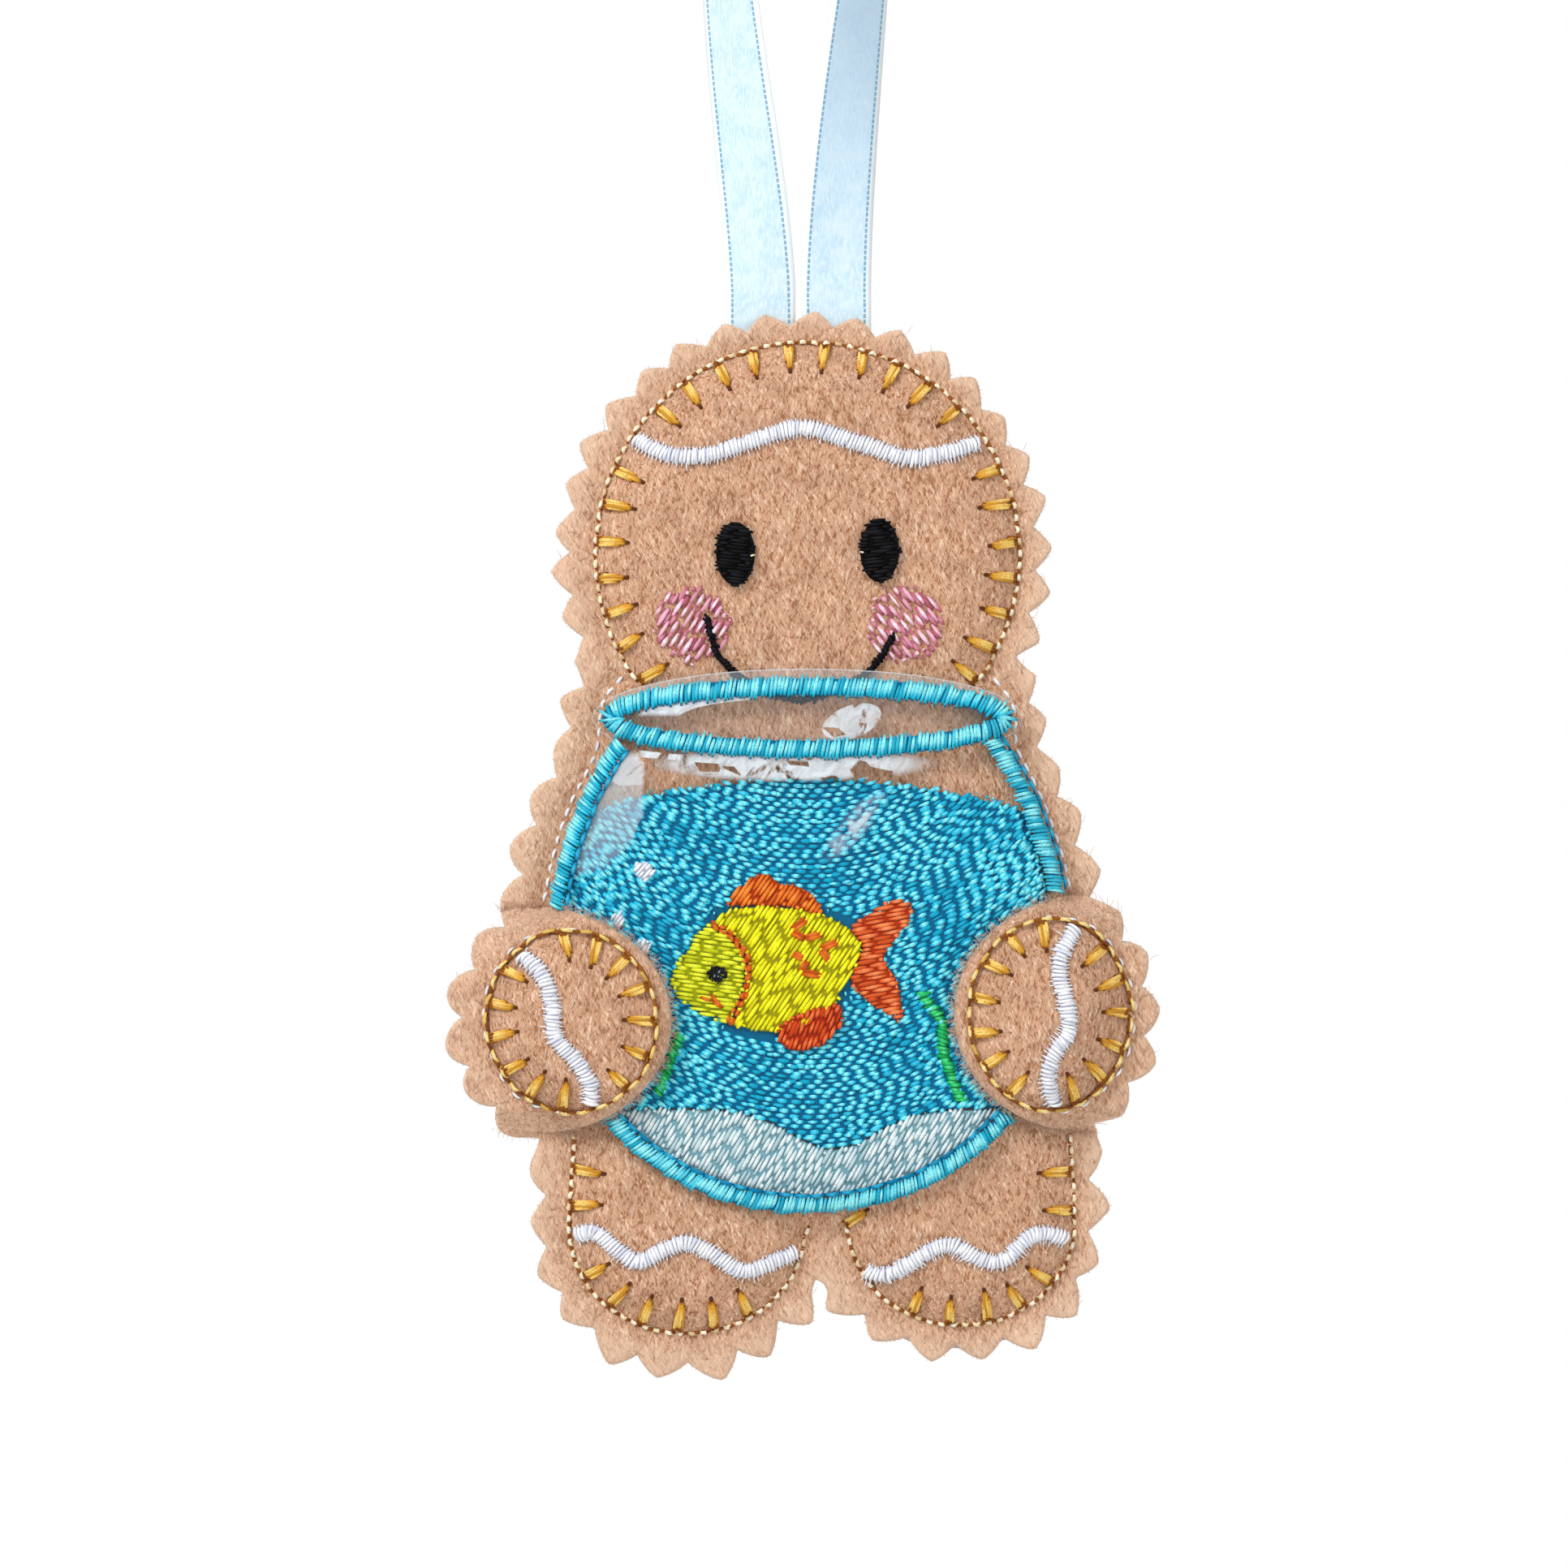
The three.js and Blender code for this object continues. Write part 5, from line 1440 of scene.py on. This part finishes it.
def make_water(work):
    """Short stitches in bowed rows, and looser ones on top; none under the fish or the hands."""
    def bed_field(x, z):
        below_surface = z - water_surface(x) + 0.3
        return np.maximum(np.maximum(within_band(x, z), below_surface), sand_surface(x) + 0.02 - z)

    def test(x, z):
        hidden = np.any([cover(x, z) for cover in covers], axis=0)
        in_water = (z - water_surface(x) < 0.1) & (z > sand_surface(x) - 0.1)
        return (within_band(x, z) < 0) & in_water & (patch_distance(x, z) > -1.2) & ~hidden

    painted_shade_bed(work, even_loop(bed_field, 0, 0.8), **BOWL_SHADE_BED)
    for pitch, length, thread, lift, shuffle, kept, base_tone in WATER_LAYERS:
        starts, ends = fill_rows(test, ((-26, 26), (12, 58)), 0, pitch, length, gap=0.24, bend=0.02,
                                 ragged=0.4, offset_share=0.4, shuffle=shuffle)
        keep = grains.uniform(0, 1, len(starts)) < kept
        x, z = starts[keep].T
        tone = (base_tone + 0.3 * np.sin(x * 0.33 + z * 0.21 + 1) * np.sin(z * 0.31 - x * 0.13)
                + grains.uniform(-0.45, 0.45, len(x)))
        stitches(work, starts[keep], ends[keep], lifted(felt_surface, FILL_LIFT + lift),
                 grains.normal(thread, 0.07, len(x)), 0.28, grains.normal(0.17, 0.06, len(x)),
                 np.clip(tone, 0, 1), taper=0.35, sides=5, arch=3.0)


def make_sand(work):
    """Longer stitches at a steep slant."""
    def bed_field(x, z):
        return np.maximum(within_band(x, z), z - sand_surface(x) + 0.15)

    def test(x, z):
        return (within_band(x, z) < 0) & (z < sand_surface(x) + 0.05)

    painted_shade_bed(work, even_loop(bed_field, 0, 0.8), **BOWL_SHADE_BED)
    starts, ends = fill_rows(test, ((-24, 24), (12, 24)), 60, 0.42, 2.3, gap=0.14, ragged=0.35, shuffle=0.3)
    count = len(starts)
    stitches(work, starts, ends, lifted(felt_surface, FILL_LIFT + 0.24), grains.normal(0.42, 0.05, count),
             0.26, grains.normal(0.15, 0.04, count), taper=0.45, sides=5, arch=4.0)


def satin_shape(loop, angle, length, lift, pitch=0.42, thread=0.43, gap=0.16, ragged=0.22, inset=0.2):
    """A shape filled with long threads at an angle in degrees, over a dark bed of painted shade."""
    loop = counterclockwise(loop)

    def build(work):
        painted_shade_bed(work, inset_loop(loop, inset), lift)
        starts, ends = fill_rows(inside_loop(loop), region_box(loop), angle, pitch, length, gap, 0.0, ragged,
                                 shuffle=0.5)
        count = len(starts)
        stitches(work, starts, ends, lifted(felt_surface, lift + 0.2), grains.normal(thread, 0.05, count),
                 0.26, grains.normal(0.15, 0.05, count), taper=0.45, arch=4.0)
    return build


def counterclockwise(loop):
    return loop if signed_area(loop) > 0 else loop[::-1]


def on_fish(shares):
    return on_carrier(shares, FISH.x, FISH.z, FISH.half_width, FISH.rise)


def joined_outline(first, second):
    """One closed outline from two open runs of points."""
    line = np.vstack([smooth_line(first, 0.5), smooth_line(second, 0.5)[1:-1]])
    return counterclockwise(resample(line, round(line_length(line, True) / 0.5), True))


gill_points = on_fish(GILL)
head_outline = joined_outline(gill_points, np.vstack([gill_points[-1:], on_fish(FISH_FACE), gill_points[:1]]))
behind_gill = gill_points + [0.04, 0]
body_outline = joined_outline(behind_gill[::-1],
                              np.vstack([behind_gill[:1], on_fish(FISH_BACK), behind_gill[-1:]]))[::-1]
dorsal_outline, tail_outline, belly_outline = (smooth_loop(on_fish(fin)[::-1], 0.5)
                                               for fin in (DORSAL, TAIL, BELLY))
covers = [inside_loop(inset_loop(loop, 0.5)) for loop in
          (head_outline, body_outline, dorsal_outline, tail_outline, belly_outline)]

make_threads("water_stitches", "water", ["water"], make_water)
make_threads("sand_stitches", "sand", ["sand"], make_sand)
make_threads("fish_head_stitches", "fish_head", ["lime"],
             satin_shape(head_outline, -8, 1.9, FISH_LIFT, inset=0.4))
make_threads("fish_body_stitches", "fish_body", ["yellow"],
             satin_shape(body_outline, 56, 2.6, FISH_LIFT))
make_threads("dorsal_stitches", "dorsal_fin", ["orange"],
             satin_shape(dorsal_outline, 55, 3.4, FISH_LIFT - 0.05))
make_threads("tail_stitches", "tail_fin", ["coral"],
             satin_shape(tail_outline, 10, 2.6, FISH_LIFT - 0.05))
make_threads("belly_stitches", "belly_fin", ["crimson"],
             satin_shape(belly_outline, 68, 1.7, FISH_LIFT + 0.22))


def running_line(line, ground, thread=0.36, pitch=1.0, gap=0.12, bow=0.16, offset=0.0, phase=0.0,
                 closed=False, finish=0, wander=0.04, taper=0.55):
    """A running stitch: dashes end to end along a line, moved aside by an offset and on by a phase."""
    step = 0.1

    def build(work):
        places, ahead = frames_along(line, step, closed)
        side = leftward(ahead)
        places = places + side * offset
        count = max(1, round(len(places) * step / pitch))
        stops = np.linspace(phase * pitch / step, len(places) - 1, count + 1).astype(int)
        points = places[stops] + side[stops] * grains.normal(0, wander, len(stops))[:, None]
        trim = unit(points[1:] - points[:-1]) * gap / 2
        stitches(work, points[:-1] + trim, points[1:] - trim, ground, thread, thread * 0.75, bow,
                 taper=taper, finish=finish)
    return build


mark_ground = lifted(felt_surface, MARK_LIFT - 0.08)


def make_gill(work):
    """Three strands of dashes along the gill, and the mouth."""
    line = smooth_line(gill_points, 0.3)
    for offset, phase in ((0.2, 0.0), (-0.2, 0.5), (0.0, 0.25)):
        running_line(line, mark_ground, thread=0.38, pitch=0.95, offset=offset, phase=phase,
                     wander=0.12)(work)
    mouth = on_fish(MOUTH)
    stitches(work, mouth[:-1], mouth[1:], mark_ground, 0.4, 0.28, 0.14)


def make_scales(work):
    """Two threads side by side for each stroke of a scale."""
    for shares in SCALES:
        points = on_fish(shares)
        for a, b in zip(points, points[1:]):
            side = leftward(unit(b - a))
            stitches(work, [a + side * 0.2, a - side * 0.16], [b + side * 0.16, b - side * 0.2], mark_ground,
                     0.46, 0.3, 0.16, taper=0.6)


def make_fish_eye(work):
    """A black dot with two glints of pale thread."""
    x, z = on_fish([FISH_EYE])[0]
    satin_shape(ellipse_loop(x, z, 1.0, 1.0, 0.25), 80, 3.0, MARK_LIFT - 0.1, 0.3, 0.34)(work)
    stitches(work, [(x - 0.55, z - 0.5), (x - 0.2, z - 0.1)], [(x + 0.5, z + 0.45), (x + 0.55, z - 0.35)],
             lifted(felt_surface, MARK_LIFT + 0.22), 0.16, 0.14, 0.08, finish=1)


make_threads("gill_stitches", "fish_gill", ["amber_red"], make_gill)
make_threads("scale_stitches", "fish_scales", ["amber_red"], make_scales)
make_threads("fish_eye_stitches", "fish_eye", ["black", "sand"], make_fish_eye)
for number, (x, z) in enumerate(on_carrier(BUBBLES, BOWL.x, BOWL.z, BOWL.half_width, BOWL.rise), 1):
    size = (1.1, 1.1) if number == 1 else (0.75, 1.0)
    make_threads(f"bubble_{number}_stitches", f"bubble_{number}", ["white"],
                 satin_shape(ellipse_loop(x, z, *size, 0.25), 38 + 9 * number, 3.0, FISH_LIFT, 0.36, 0.34,
                             ragged=0.34))


def satin_line(line, width, ground, **values):
    """The build of a single satin band."""
    return lambda work: satin_band(work, line, width, ground, **values)


for side, shares in (("left", LEFT_SEAWEED), ("right", RIGHT_SEAWEED)):
    make_threads(f"seaweed_{side}_stitches", f"seaweed_{side}", ["green"],
                 satin_line(smooth_line(on_egg(shares, BOWL), 0.4), 1.2, lifted(felt_surface, FISH_LIFT),
                            pitch=0.38, arch_height=0.2, slant=0.5, ragged=0.1, thread=0.4))


# Vinyl window

# Ovals of the figure where the film catches the light: place, half sizes and turn
RIM_OVAL = (RIM.x, RIM.z, RIM.half_width, RIM.rise)
GLARE_BELOW_RIM = (-1.4, 57.0, 15.0, 1.9)
GLARE_IN_MOUTH = (4.4, 61.2, 3.2, 1.7, 0.35)
GLARE_STREAK_ON_WATER = (4.6, 50.8, 5.2, 1.5, 0.85)
SHOULDER_REFLECTION = (-22.5, 55.0, 6.3, 9.5)


def vinyl_finish():
    """Clear vinyl: a thin film with a faint haze, and white broken glare where it catches the light."""
    material = bpy.data.materials.new("clear_vinyl")
    film = recipe_of(material)
    spot = film.spot()
    parts = film.place("ShaderNodeSeparateXYZ")
    film.feed(parts.inputs[0], spot)
    x, z = parts.outputs["X"], parts.outputs["Z"]

    def rising(start, end, *shares):
        """Eases in between two heights of the figure."""
        return film.ease(z, (start + FIGURE_DROP) * MM, (end + FIGURE_DROP) * MM, *shares)

    def spread(centre_x, centre_z, half_x, half_z, turn=0.0):
        """How far a place lies from the middle of an oval: 1 on its edge."""
        u = film.minus(x, centre_x * MM)
        v = film.minus(z, (centre_z + FIGURE_DROP) * MM)
        c, s = math.cos(turn), math.sin(turn)
        along = film.plus(film.times(u, c), film.times(v, s))
        across = film.minus(film.times(v, c), film.times(u, s))
        squares = [film.maths("POWER", film.unsigned(film.maths("DIVIDE", part, half * MM)), 2.0)
                   for part, half in ((along, half_x), (across, half_z))]
        return film.maths("SQRT", film.plus(*squares))

    def strip(start, end, left, right):
        """A thin curved strip beside the rim, between two places across the figure."""
        far = spread(*RIM_OVAL)
        band = film.times(film.ease(far, start - 0.03, start), film.ease(far, end + 0.03, end))
        cut = film.times(film.ease(x, left * MM, (left + 1) * MM), film.ease(x, right * MM, (right - 1) * MM))
        return film.times(band, cut)

    # Crinkles that break the glare up
    shards = film.noise(film.drawn_out(spot, 1.6, 0.6), 420, detail=3, roughness=0.55, distortion=1.2)
    clouds = film.noise(film.drawn_out(spot, 1.8, 0.7), 900, detail=4, roughness=0.65, distortion=0.8)
    cells = film.place("ShaderNodeTexVoronoi", Scale=520.0)
    film.feed(cells.inputs["Vector"], film.drawn_out(spot, 0.6, 0.5))
    chance = film.place("ShaderNodeSeparateColor")
    film.feed(chance.inputs[0], cells.outputs["Color"])
    broken = film.times(film.ease(chance.outputs[0], 0.22, 0.26), film.ease(shards, 0.34, 0.4))

    # Glare inside the mouth, below the rim and along both sides of it
    below_rim = film.times(film.ease(spread(*GLARE_BELOW_RIM), 1.0, 0.6), broken)
    in_mouth = film.times(film.ease(spread(*GLARE_IN_MOUTH), 1.0, 0.9), broken)
    upper = film.times(strip(0.66, 0.84, -18.5, -5.0), rising(RIM.z, RIM.z + 0.6),
                       film.ease(shards, 0.26, 0.36))
    lower = film.times(strip(1.36, 1.5, -17.0, -7.0), rising(RIM.z, RIM.z - 0.6))
    edges = film.most(upper, film.times(lower, film.ease(shards, 0.42, 0.5)))
    glare = film.most(film.most(below_rim, film.times(in_mouth, 0.8)), edges)

    # Painted reflection, milky with a ragged edge, on the bowl's left shoulder
    uneven = film.plus(spread(*SHOULDER_REFLECTION), film.times(shards, 0.3))
    painted_reflection = film.times(film.ease(uneven, 1.15, 1.08), rising(44.5, 54.0, 0.08, 0.22), rising(58.4, 57.4))
    creased = film.times(rising(53.6, 54.4), broken)
    painted_reflection = film.times(painted_reflection, film.plus(film.ease(clouds, 0.3, 0.7, 0.7, 1.0), creased))

    # Painted glare: a soft streak across the water
    soft = film.times(film.ease(spread(*GLARE_STREAK_ON_WATER), 1.0, 0.2), film.ease(clouds, 0.38, 0.62))
    # Painted light: a faint pale haze inside the rim that lifts the shade the rim casts on the felt
    painted_light_in_rim = film.ease(spread(*RIM_OVAL), 1.0, 0.85, 0.0, 0.025)
    # Painted highlight: a white glint along the film's cut edge, where its tone is high
    film_edge_glint = film.ease(film.unsigned(film.attribute("tone")), 0.5, 1.0)
    # All painted glare, reflections and light gathered into the film's white
    haze = film.most(film.times(glare, film.ease(clouds, 0.3, 0.65, 0.36, 0.78)), film.times(soft, 0.42))
    haze = film.most(haze, film.most(painted_reflection, painted_light_in_rim))
    haze = film.most(haze, film.times(film_edge_glint, 0.45))
    alpha = film.maths("ADD", haze, rising(RIM.z + 1.0, RIM.z + 3.0, 0.004, 0.09), clamp=True)
    ripples = film.noise(spot, 160, detail=2, roughness=0.5, distortion=0.5)
    shader = film.surface(dye(234, 242, 248), 0.12, ripples, 0.0003, Specular_IOR_Level=0.4)
    film.feed(shader.inputs["Alpha"], alpha)
    return material


def make_vinyl():
    work = Work()
    # The high tone on the film's cut edge is painted as a white glint
    draped_sheet(work, even_loop(vinyl_distance, 0, 0.8), 1.4, vinyl_surface, vinyl_underside,
                 insets=(0, 0.3), drops=(0.05, 0), fuzz=(1, 0.1))
    work.finish("vinyl_film", "ornament", ["vinyl_window"], [vinyl_finish()])


make_vinyl()


# Satin outline of the bowl

# The bands press a little into the film and the felt
sunk_ground = lifted(band_ground, -0.16)
# Directions towards the side of each band that is painted in shade
DOWN, RIGHT_AND_DOWN = (0.0, -1.0), (1.0, -0.3)


def middle_of(run):
    return run[len(run) // 2]


def is_bowl_edge(loop):
    """The bowl's own edge shows below its neck, where neither a hand nor the rim covers it."""
    x, z = loop.T
    rim_clear = egg_distance(x, z, RIM) > BAND_WIDTH * 0.45
    return (patch_distance(x, z) > 0.1) & (z < NECK_HEIGHT) & ((z < BOWL.z) | rim_clear)


def bowl_satin(line, shaded_side, towards_dark):
    """A satin band with a darker thread beside it, on its shaded side: painted shade."""
    def build(work):
        satin_band(work, line, 1.75, sunk_ground, pitch=0.36, slant=0.55, ragged=0.12, thread=0.37,
                   arch_height=0.34, towards_dark=towards_dark)
        running_line(line, lifted(sunk_ground, -0.06), thread=0.44, pitch=1.6, gap=0.0, bow=0.12,
                     offset=shaded_side, finish=1)(work)
    return build


rim_line = ellipse_loop(RIM.x, RIM.z, RIM.half_width, RIM.rise, 0.3)
make_threads("rim_satin", "bowl_rim", ["turquoise"],
             satin_line(rim_line, 2.0, sunk_ground, closed=True, pitch=0.37, slant=0.45, ragged=0.14,
                        thread=0.38, arch_height=0.38, towards_dark=DOWN))
for run in runs_of(even_loop(lambda x, z: egg_distance(x, z, BOWL), 0, 0.5), is_bowl_edge):
    middle = middle_of(run)
    is_base = middle[1] < BOWL.z - BOWL.drop / 2
    name = "bowl_base" if is_base else "bowl_side_" + ("left" if middle[0] < 0 else "right")
    shaded_side = 1.05 if middle[0] < 5 else -1.05
    make_threads(name + "_satin", name, ["turquoise", "shaded_turquoise"],
                 bowl_satin(smooth_line(run, 0.3), shaded_side, DOWN if is_base else RIGHT_AND_DOWN))


# Face

EYE_PLACE, EYE_HALF_SIZES = 7.2, (2.05, 3.25)
CHEEK_HEIGHT, CHEEK_RADIUS = 70.9, 3.9

# A cheek's layers of stitches: row pitch, stitch length, thread width, lift and thread
CHEEK_LAYERS = ((0.6, 2.6, 0.44, -0.04, 1), (0.72, 2.2, 0.42, 0.16, 0))


def make_eye(side, lift):
    """A black oval with a speck of pale thread on its inner edge."""
    x, z = side * EYE_PLACE, HEAD_HEIGHT + lift
    fill = satin_shape(ellipse_loop(x, z, *EYE_HALF_SIZES, 0.3), 7 * side, 2.4, FILL_LIFT, 0.34, 0.4, 0.06,
                       0.34, inset=0.1)

    def build(work):
        fill(work)
        nearest = x - side * 2.0
        stitches(work, [(nearest, z - 0.1)], [(nearest + side * 0.7, z - 0.3)],
                 lifted(felt_surface, FILL_LIFT + 0.3), 0.2, 0.16, 0.1, finish=1)
    return build


for side, name, lift in ((-1, "left", 0.0), (1, "right", 0.3)):
    make_threads(f"eye_{name}_stitches", f"eye_{name}", ["black", "cream"],
                 make_eye(side, lift))


def make_cheek(x, angle):
    """A round of loose stitches, with rose ones under pink ones."""
    def build(work):
        loop = ellipse_loop(x, CHEEK_HEIGHT, CHEEK_RADIUS, CHEEK_RADIUS, 0.4)
        for pitch, length, thread, lift, finish in CHEEK_LAYERS:
            starts, ends = fill_rows(inside_loop(loop), region_box(loop), angle, pitch, length, 0.34, 0.0,
                                     0.5, shuffle=0.5)
            stitches(work, starts, ends, lifted(front_top, lift), grains.normal(thread, 0.05, len(starts)),
                     0.28, 0.26, taper=0.35, finish=finish)
    return build


for name, x, angle in (("left", -11.5, 57), ("right", 9.7, -52)):
    make_threads(f"cheek_{name}_stitches", f"cheek_{name}", ["pink", "rose"],
                 make_cheek(x, angle))
make_threads("smile_stitches", "smile", ["black"],
             satin_line(smooth_line(on_head(SMILE), 0.3), 0.7, lifted(felt_surface, 0.32), pitch=0.4,
                        arch_height=0.2, slant=0.8, ragged=0.09, thread=0.4))


# Icing waves, which stop short of the seam

ICING_REACH = -0.5


def splayed_ends(work, line, ground, width):
    """Fine thread ends that reach out of a satin band into the felt."""
    root = 0.35
    places, ahead = frames_along(line, 0.38)
    across = leftward(ahead)
    for side, spread in ((1, 0.1), (-1, 0.26)):
        reach = (np.abs(grains.normal(0, spread, len(places))) + 0.06)[:, None]
        start = places + side * across * (width / 2 - root)
        slip = ahead * grains.normal(0, 0.08, len(places))[:, None]
        stitches(work, start, start + side * across * (root + reach) + slip, ground, 0.17, 0.12, 0.06,
                 grains.uniform(0.1, 0.6, len(places)), rings=4, sides=4, taper=0.3, shade=(0.6, 1.0))


def make_icing(name, line, ground):
    def build(work):
        satin_band(work, line, 1.55, ground, pitch=0.37, slant=0.2, ragged=0.1, arch_height=0.36, thread=0.37)
        splayed_ends(work, line, lifted(ground, 0.02), 1.65)

    make_threads(name + "_satin", name, ["white"], build)


icing_lines = []
for name, points in (("forehead_icing", on_head(FOREHEAD)),
                     ("left_foot_icing", on_egg(LEFT_FOOT_WAVE, LEFT_LEG)),
                     ("right_foot_icing", on_egg(RIGHT_FOOT_WAVE, RIGHT_LEG))):
    line = smooth_line(points, 0.4)
    line = line[seam_distance(*line.T) < ICING_REACH]
    icing_lines.append(line)
    make_icing(name, line, lifted(felt_surface, 0.14))


# Seams with their ticks

TICK_PITCH, TICK_LENGTH = 3.8, 3.0
ICING_CLEARANCE = 1.35

# A tick's four threads: their places from side to side, widths, tones, and how far each may stop short
TICK_SPREAD = np.array([-0.5, -0.17, 0.17, 0.5])
TICK_THREADS = [0.36, 0.42, 0.42, 0.36]
TICK_TONES = [0.1, 0.45, 0.8, 1.0]
# A low padded strip under a row of satin stitches, in the thread's dark tone as painted shade between the
# stitches.
TICK_SHORTFALL = [0.2, 0, 0, 0.2], [0.9, 0.3, 0.3, 0.9]


def ticks_along(work, starts, field, ground, icings, is_clear):
    """At even places along a seam, gold threads that fan out inwards from one hole to holes of their own."""
    inward = -outward_normals(field, starts)
    for start, ahead in zip(starts, inward):
        points = [start + ahead * TICK_LENGTH * share for share in (0.2, 0.5, 1)]
        near = any(np.linalg.norm(icing - point, axis=1).min() < ICING_CLEARANCE
                   for icing in icings for point in points)
        if near or not all(is_clear(*point) for point in points):
            continue
        across = leftward(ahead)
        tip = start + ahead * (TICK_LENGTH + dice.uniform(-0.3, 0.35)) + across * dice.uniform(-0.4, 0.4)
        short = grains.uniform(*TICK_SHORTFALL)
        first = (start + across * (TICK_SPREAD * 0.8)[:, None]
                 + ahead * grains.uniform(-0.15, 0.15, 4)[:, None])
        last = tip + across * (TICK_SPREAD * 0.6)[:, None] - ahead * short[:, None]
        stitches(work, first, last, ground, TICK_THREADS, 0.34, grains.uniform(0.2, 0.36, 4), taper=0.7,
                 rings=7, finish=2, tone=grains.permutation(TICK_TONES), shade=(0.12, 1.0))
        # Painted shade: short russet strands darken each tick's root where it meets the seam
        shaded_root = first + ahead * 0.05
        stitches(work, shaded_root, shaded_root + ahead * grains.uniform(0.5, 1.1, 4)[:, None], lifted(ground, 0.06),
                 0.34, 0.34, 0.2, taper=0.5, finish=1)
        # Painted shade: a dark stitch at each tick's tip for the shade in its needle hole
        stitches(work, [tip - ahead * 0.22], [tip + ahead * 0.3], lifted(ground, -0.04), 0.46, 0.16, 0.02,
                 taper=0.6, finish=3, tone=[0.2])


def seam_threads(work, line, ground, closed=False, pitch=1.2, thread=0.45, gap=0.24):
    """Pale dashes over a darker thread that runs on between them."""
    running_line(line, ground, 0.4, pitch, gap=0.0, bow=0.22, phase=0.5, closed=closed, finish=1,
                 wander=0.06)(work)
    running_line(line, ground, thread, pitch, gap, bow=0.36, closed=closed, wander=0.12, taper=0.7)(work)


def outer_arc(hand, offset):
    """A line round the outer side of a hand, just outside its seam."""
    outward = math.copysign(1, hand.x)
    turns = np.linspace(math.radians(98), math.radians(-104), 80)
    reach = offset * np.clip(np.sin((turns[0] - turns) / (turns[0] - turns[-1]) * math.pi) * 2.5, 0.2, 1)
    return np.column_stack([hand.x + outward * (hand.half_width + reach) * np.cos(turns),
                            hand.z + (hand.rise + reach) * np.sin(turns)])


def hand_threads(side, hand, wave_shares):
    """The ring with its ticks and the icing wave on one hand patch."""
    wave = smooth_line(on_egg(wave_shares, hand), 0.3)
    wave = wave[egg_distance(*wave.T, hand) < ICING_REACH]
    ground = lifted(patch_ground, -0.35)

    def ring(step):
        return ellipse_loop(hand.x, hand.z, hand.half_width, hand.rise, step)

    def build(work):
        seam_threads(work, ring(0.3), ground, closed=True, pitch=1.9, thread=0.42, gap=0.3)
        running_line(outer_arc(hand, 0.46), lifted(ground, -0.06), 0.3, 2.3, 1.3, 0.14, finish=4,
                     wander=0.12)(work)
        ticks_along(work, ring(TICK_PITCH), lambda x, z: egg_distance(x, z, hand),
                    lifted(patch_ground, -0.28), [wave], lambda x, z: True)

    make_threads(side + "_hand_ring", side + "_hand_seam",
                 ["amber", "russet", "gold", "hole", "white"], build)
    make_icing(side + "_hand_icing", wave, lifted(patch_ground, -0.2))


hand_threads("left", LEFT_HAND, LEFT_HAND_WAVE)
hand_threads("right", RIGHT_HAND, RIGHT_HAND_WAVE)

seam_loop = even_loop(seam_distance, 0, 0.4)


def seam_run(owners, name):
    """The stretch of the seam that lies along the given limbs and shows beside the bowl and the hands."""
    def passes(loop):
        distances = limb_distances(*loop.T, SEAM_WIDTH + FIT)
        labels = list(distances)
        nearest = np.argmin(np.stack([distances[k] for k in labels]), axis=0)
        owned = np.isin(nearest, [labels.index(owner) for owner in owners])
        high_enough = ("leg" in name) | (loop[:, 1] > BOWL.z)
        return owned & high_enough & (patch_distance(*loop.T) > 0.1)
    side = 1 if name.startswith("right") else -1
    return max((run for run in runs_of(seam_loop, passes) if middle_of(run)[0] * side > 0), key=len)


def head_circle(x, z):
    return np.hypot(x, z - HEAD_HEIGHT) - HEAD_RADIUS


def felt_clear(x, z):
    return vinyl_distance(x, z) > 0.3 and patch_distance(x, z) > 1.0


def make_gold_seam(name, line, field):
    """A pale and dark seam line with gold ticks inwards."""
    def build(work):
        seam_threads(work, line, lifted(front_top, 0.06))
        starts = resample(line, round(line_length(line) / TICK_PITCH) + 1, False)
        ticks_along(work, starts, field, lifted(front_top, 0.1), icing_lines, felt_clear)

    make_threads(name + "_stitching", name + "_seam", ["cream", "russet", "gold", "hole"],
                 build)


def plain_seam(line, ground, pitch, closed=False):
    return running_line(line, ground, 0.38, pitch, 0.4, 0.2, closed=closed, wander=0.08)


SEAM_FOOT = math.radians(-37)
turns = np.linspace(SEAM_FOOT, math.pi - SEAM_FOOT, 240)
head_line = np.column_stack([HEAD_RADIUS * np.cos(turns), HEAD_HEIGHT + HEAD_RADIUS * np.sin(turns)])
make_gold_seam("head", head_line, head_circle)
for side in ("left", "right"):
    make_gold_seam(side + "_leg", seam_run([side + "_leg"], side + "_leg"), seam_distance)
    make_threads(side + "_side_stitching", side + "_side_seam", ["white"],
                 plain_seam(seam_run(["bowl", "rim"], side), lifted(front_top, 0.06), 1.5))


def make_back_seam():
    work = Work(1)
    plain_seam(seam_loop, lifted(back_top, 0.08), 1.6, closed=True)(work)
    work.finish("back_stitching", "ornament", ["back_seam"], [threads["white"]])


make_back_seam()


# Inside, and what is left of the solids

for node, material in (("wadding", polyester_wadding), ("stabiliser", stabiliser_paper)):
    solid = bpy.data.objects[node]
    solid.data.materials.clear()
    solid.data.materials.append(material)

bpy.context.view_layer.update()
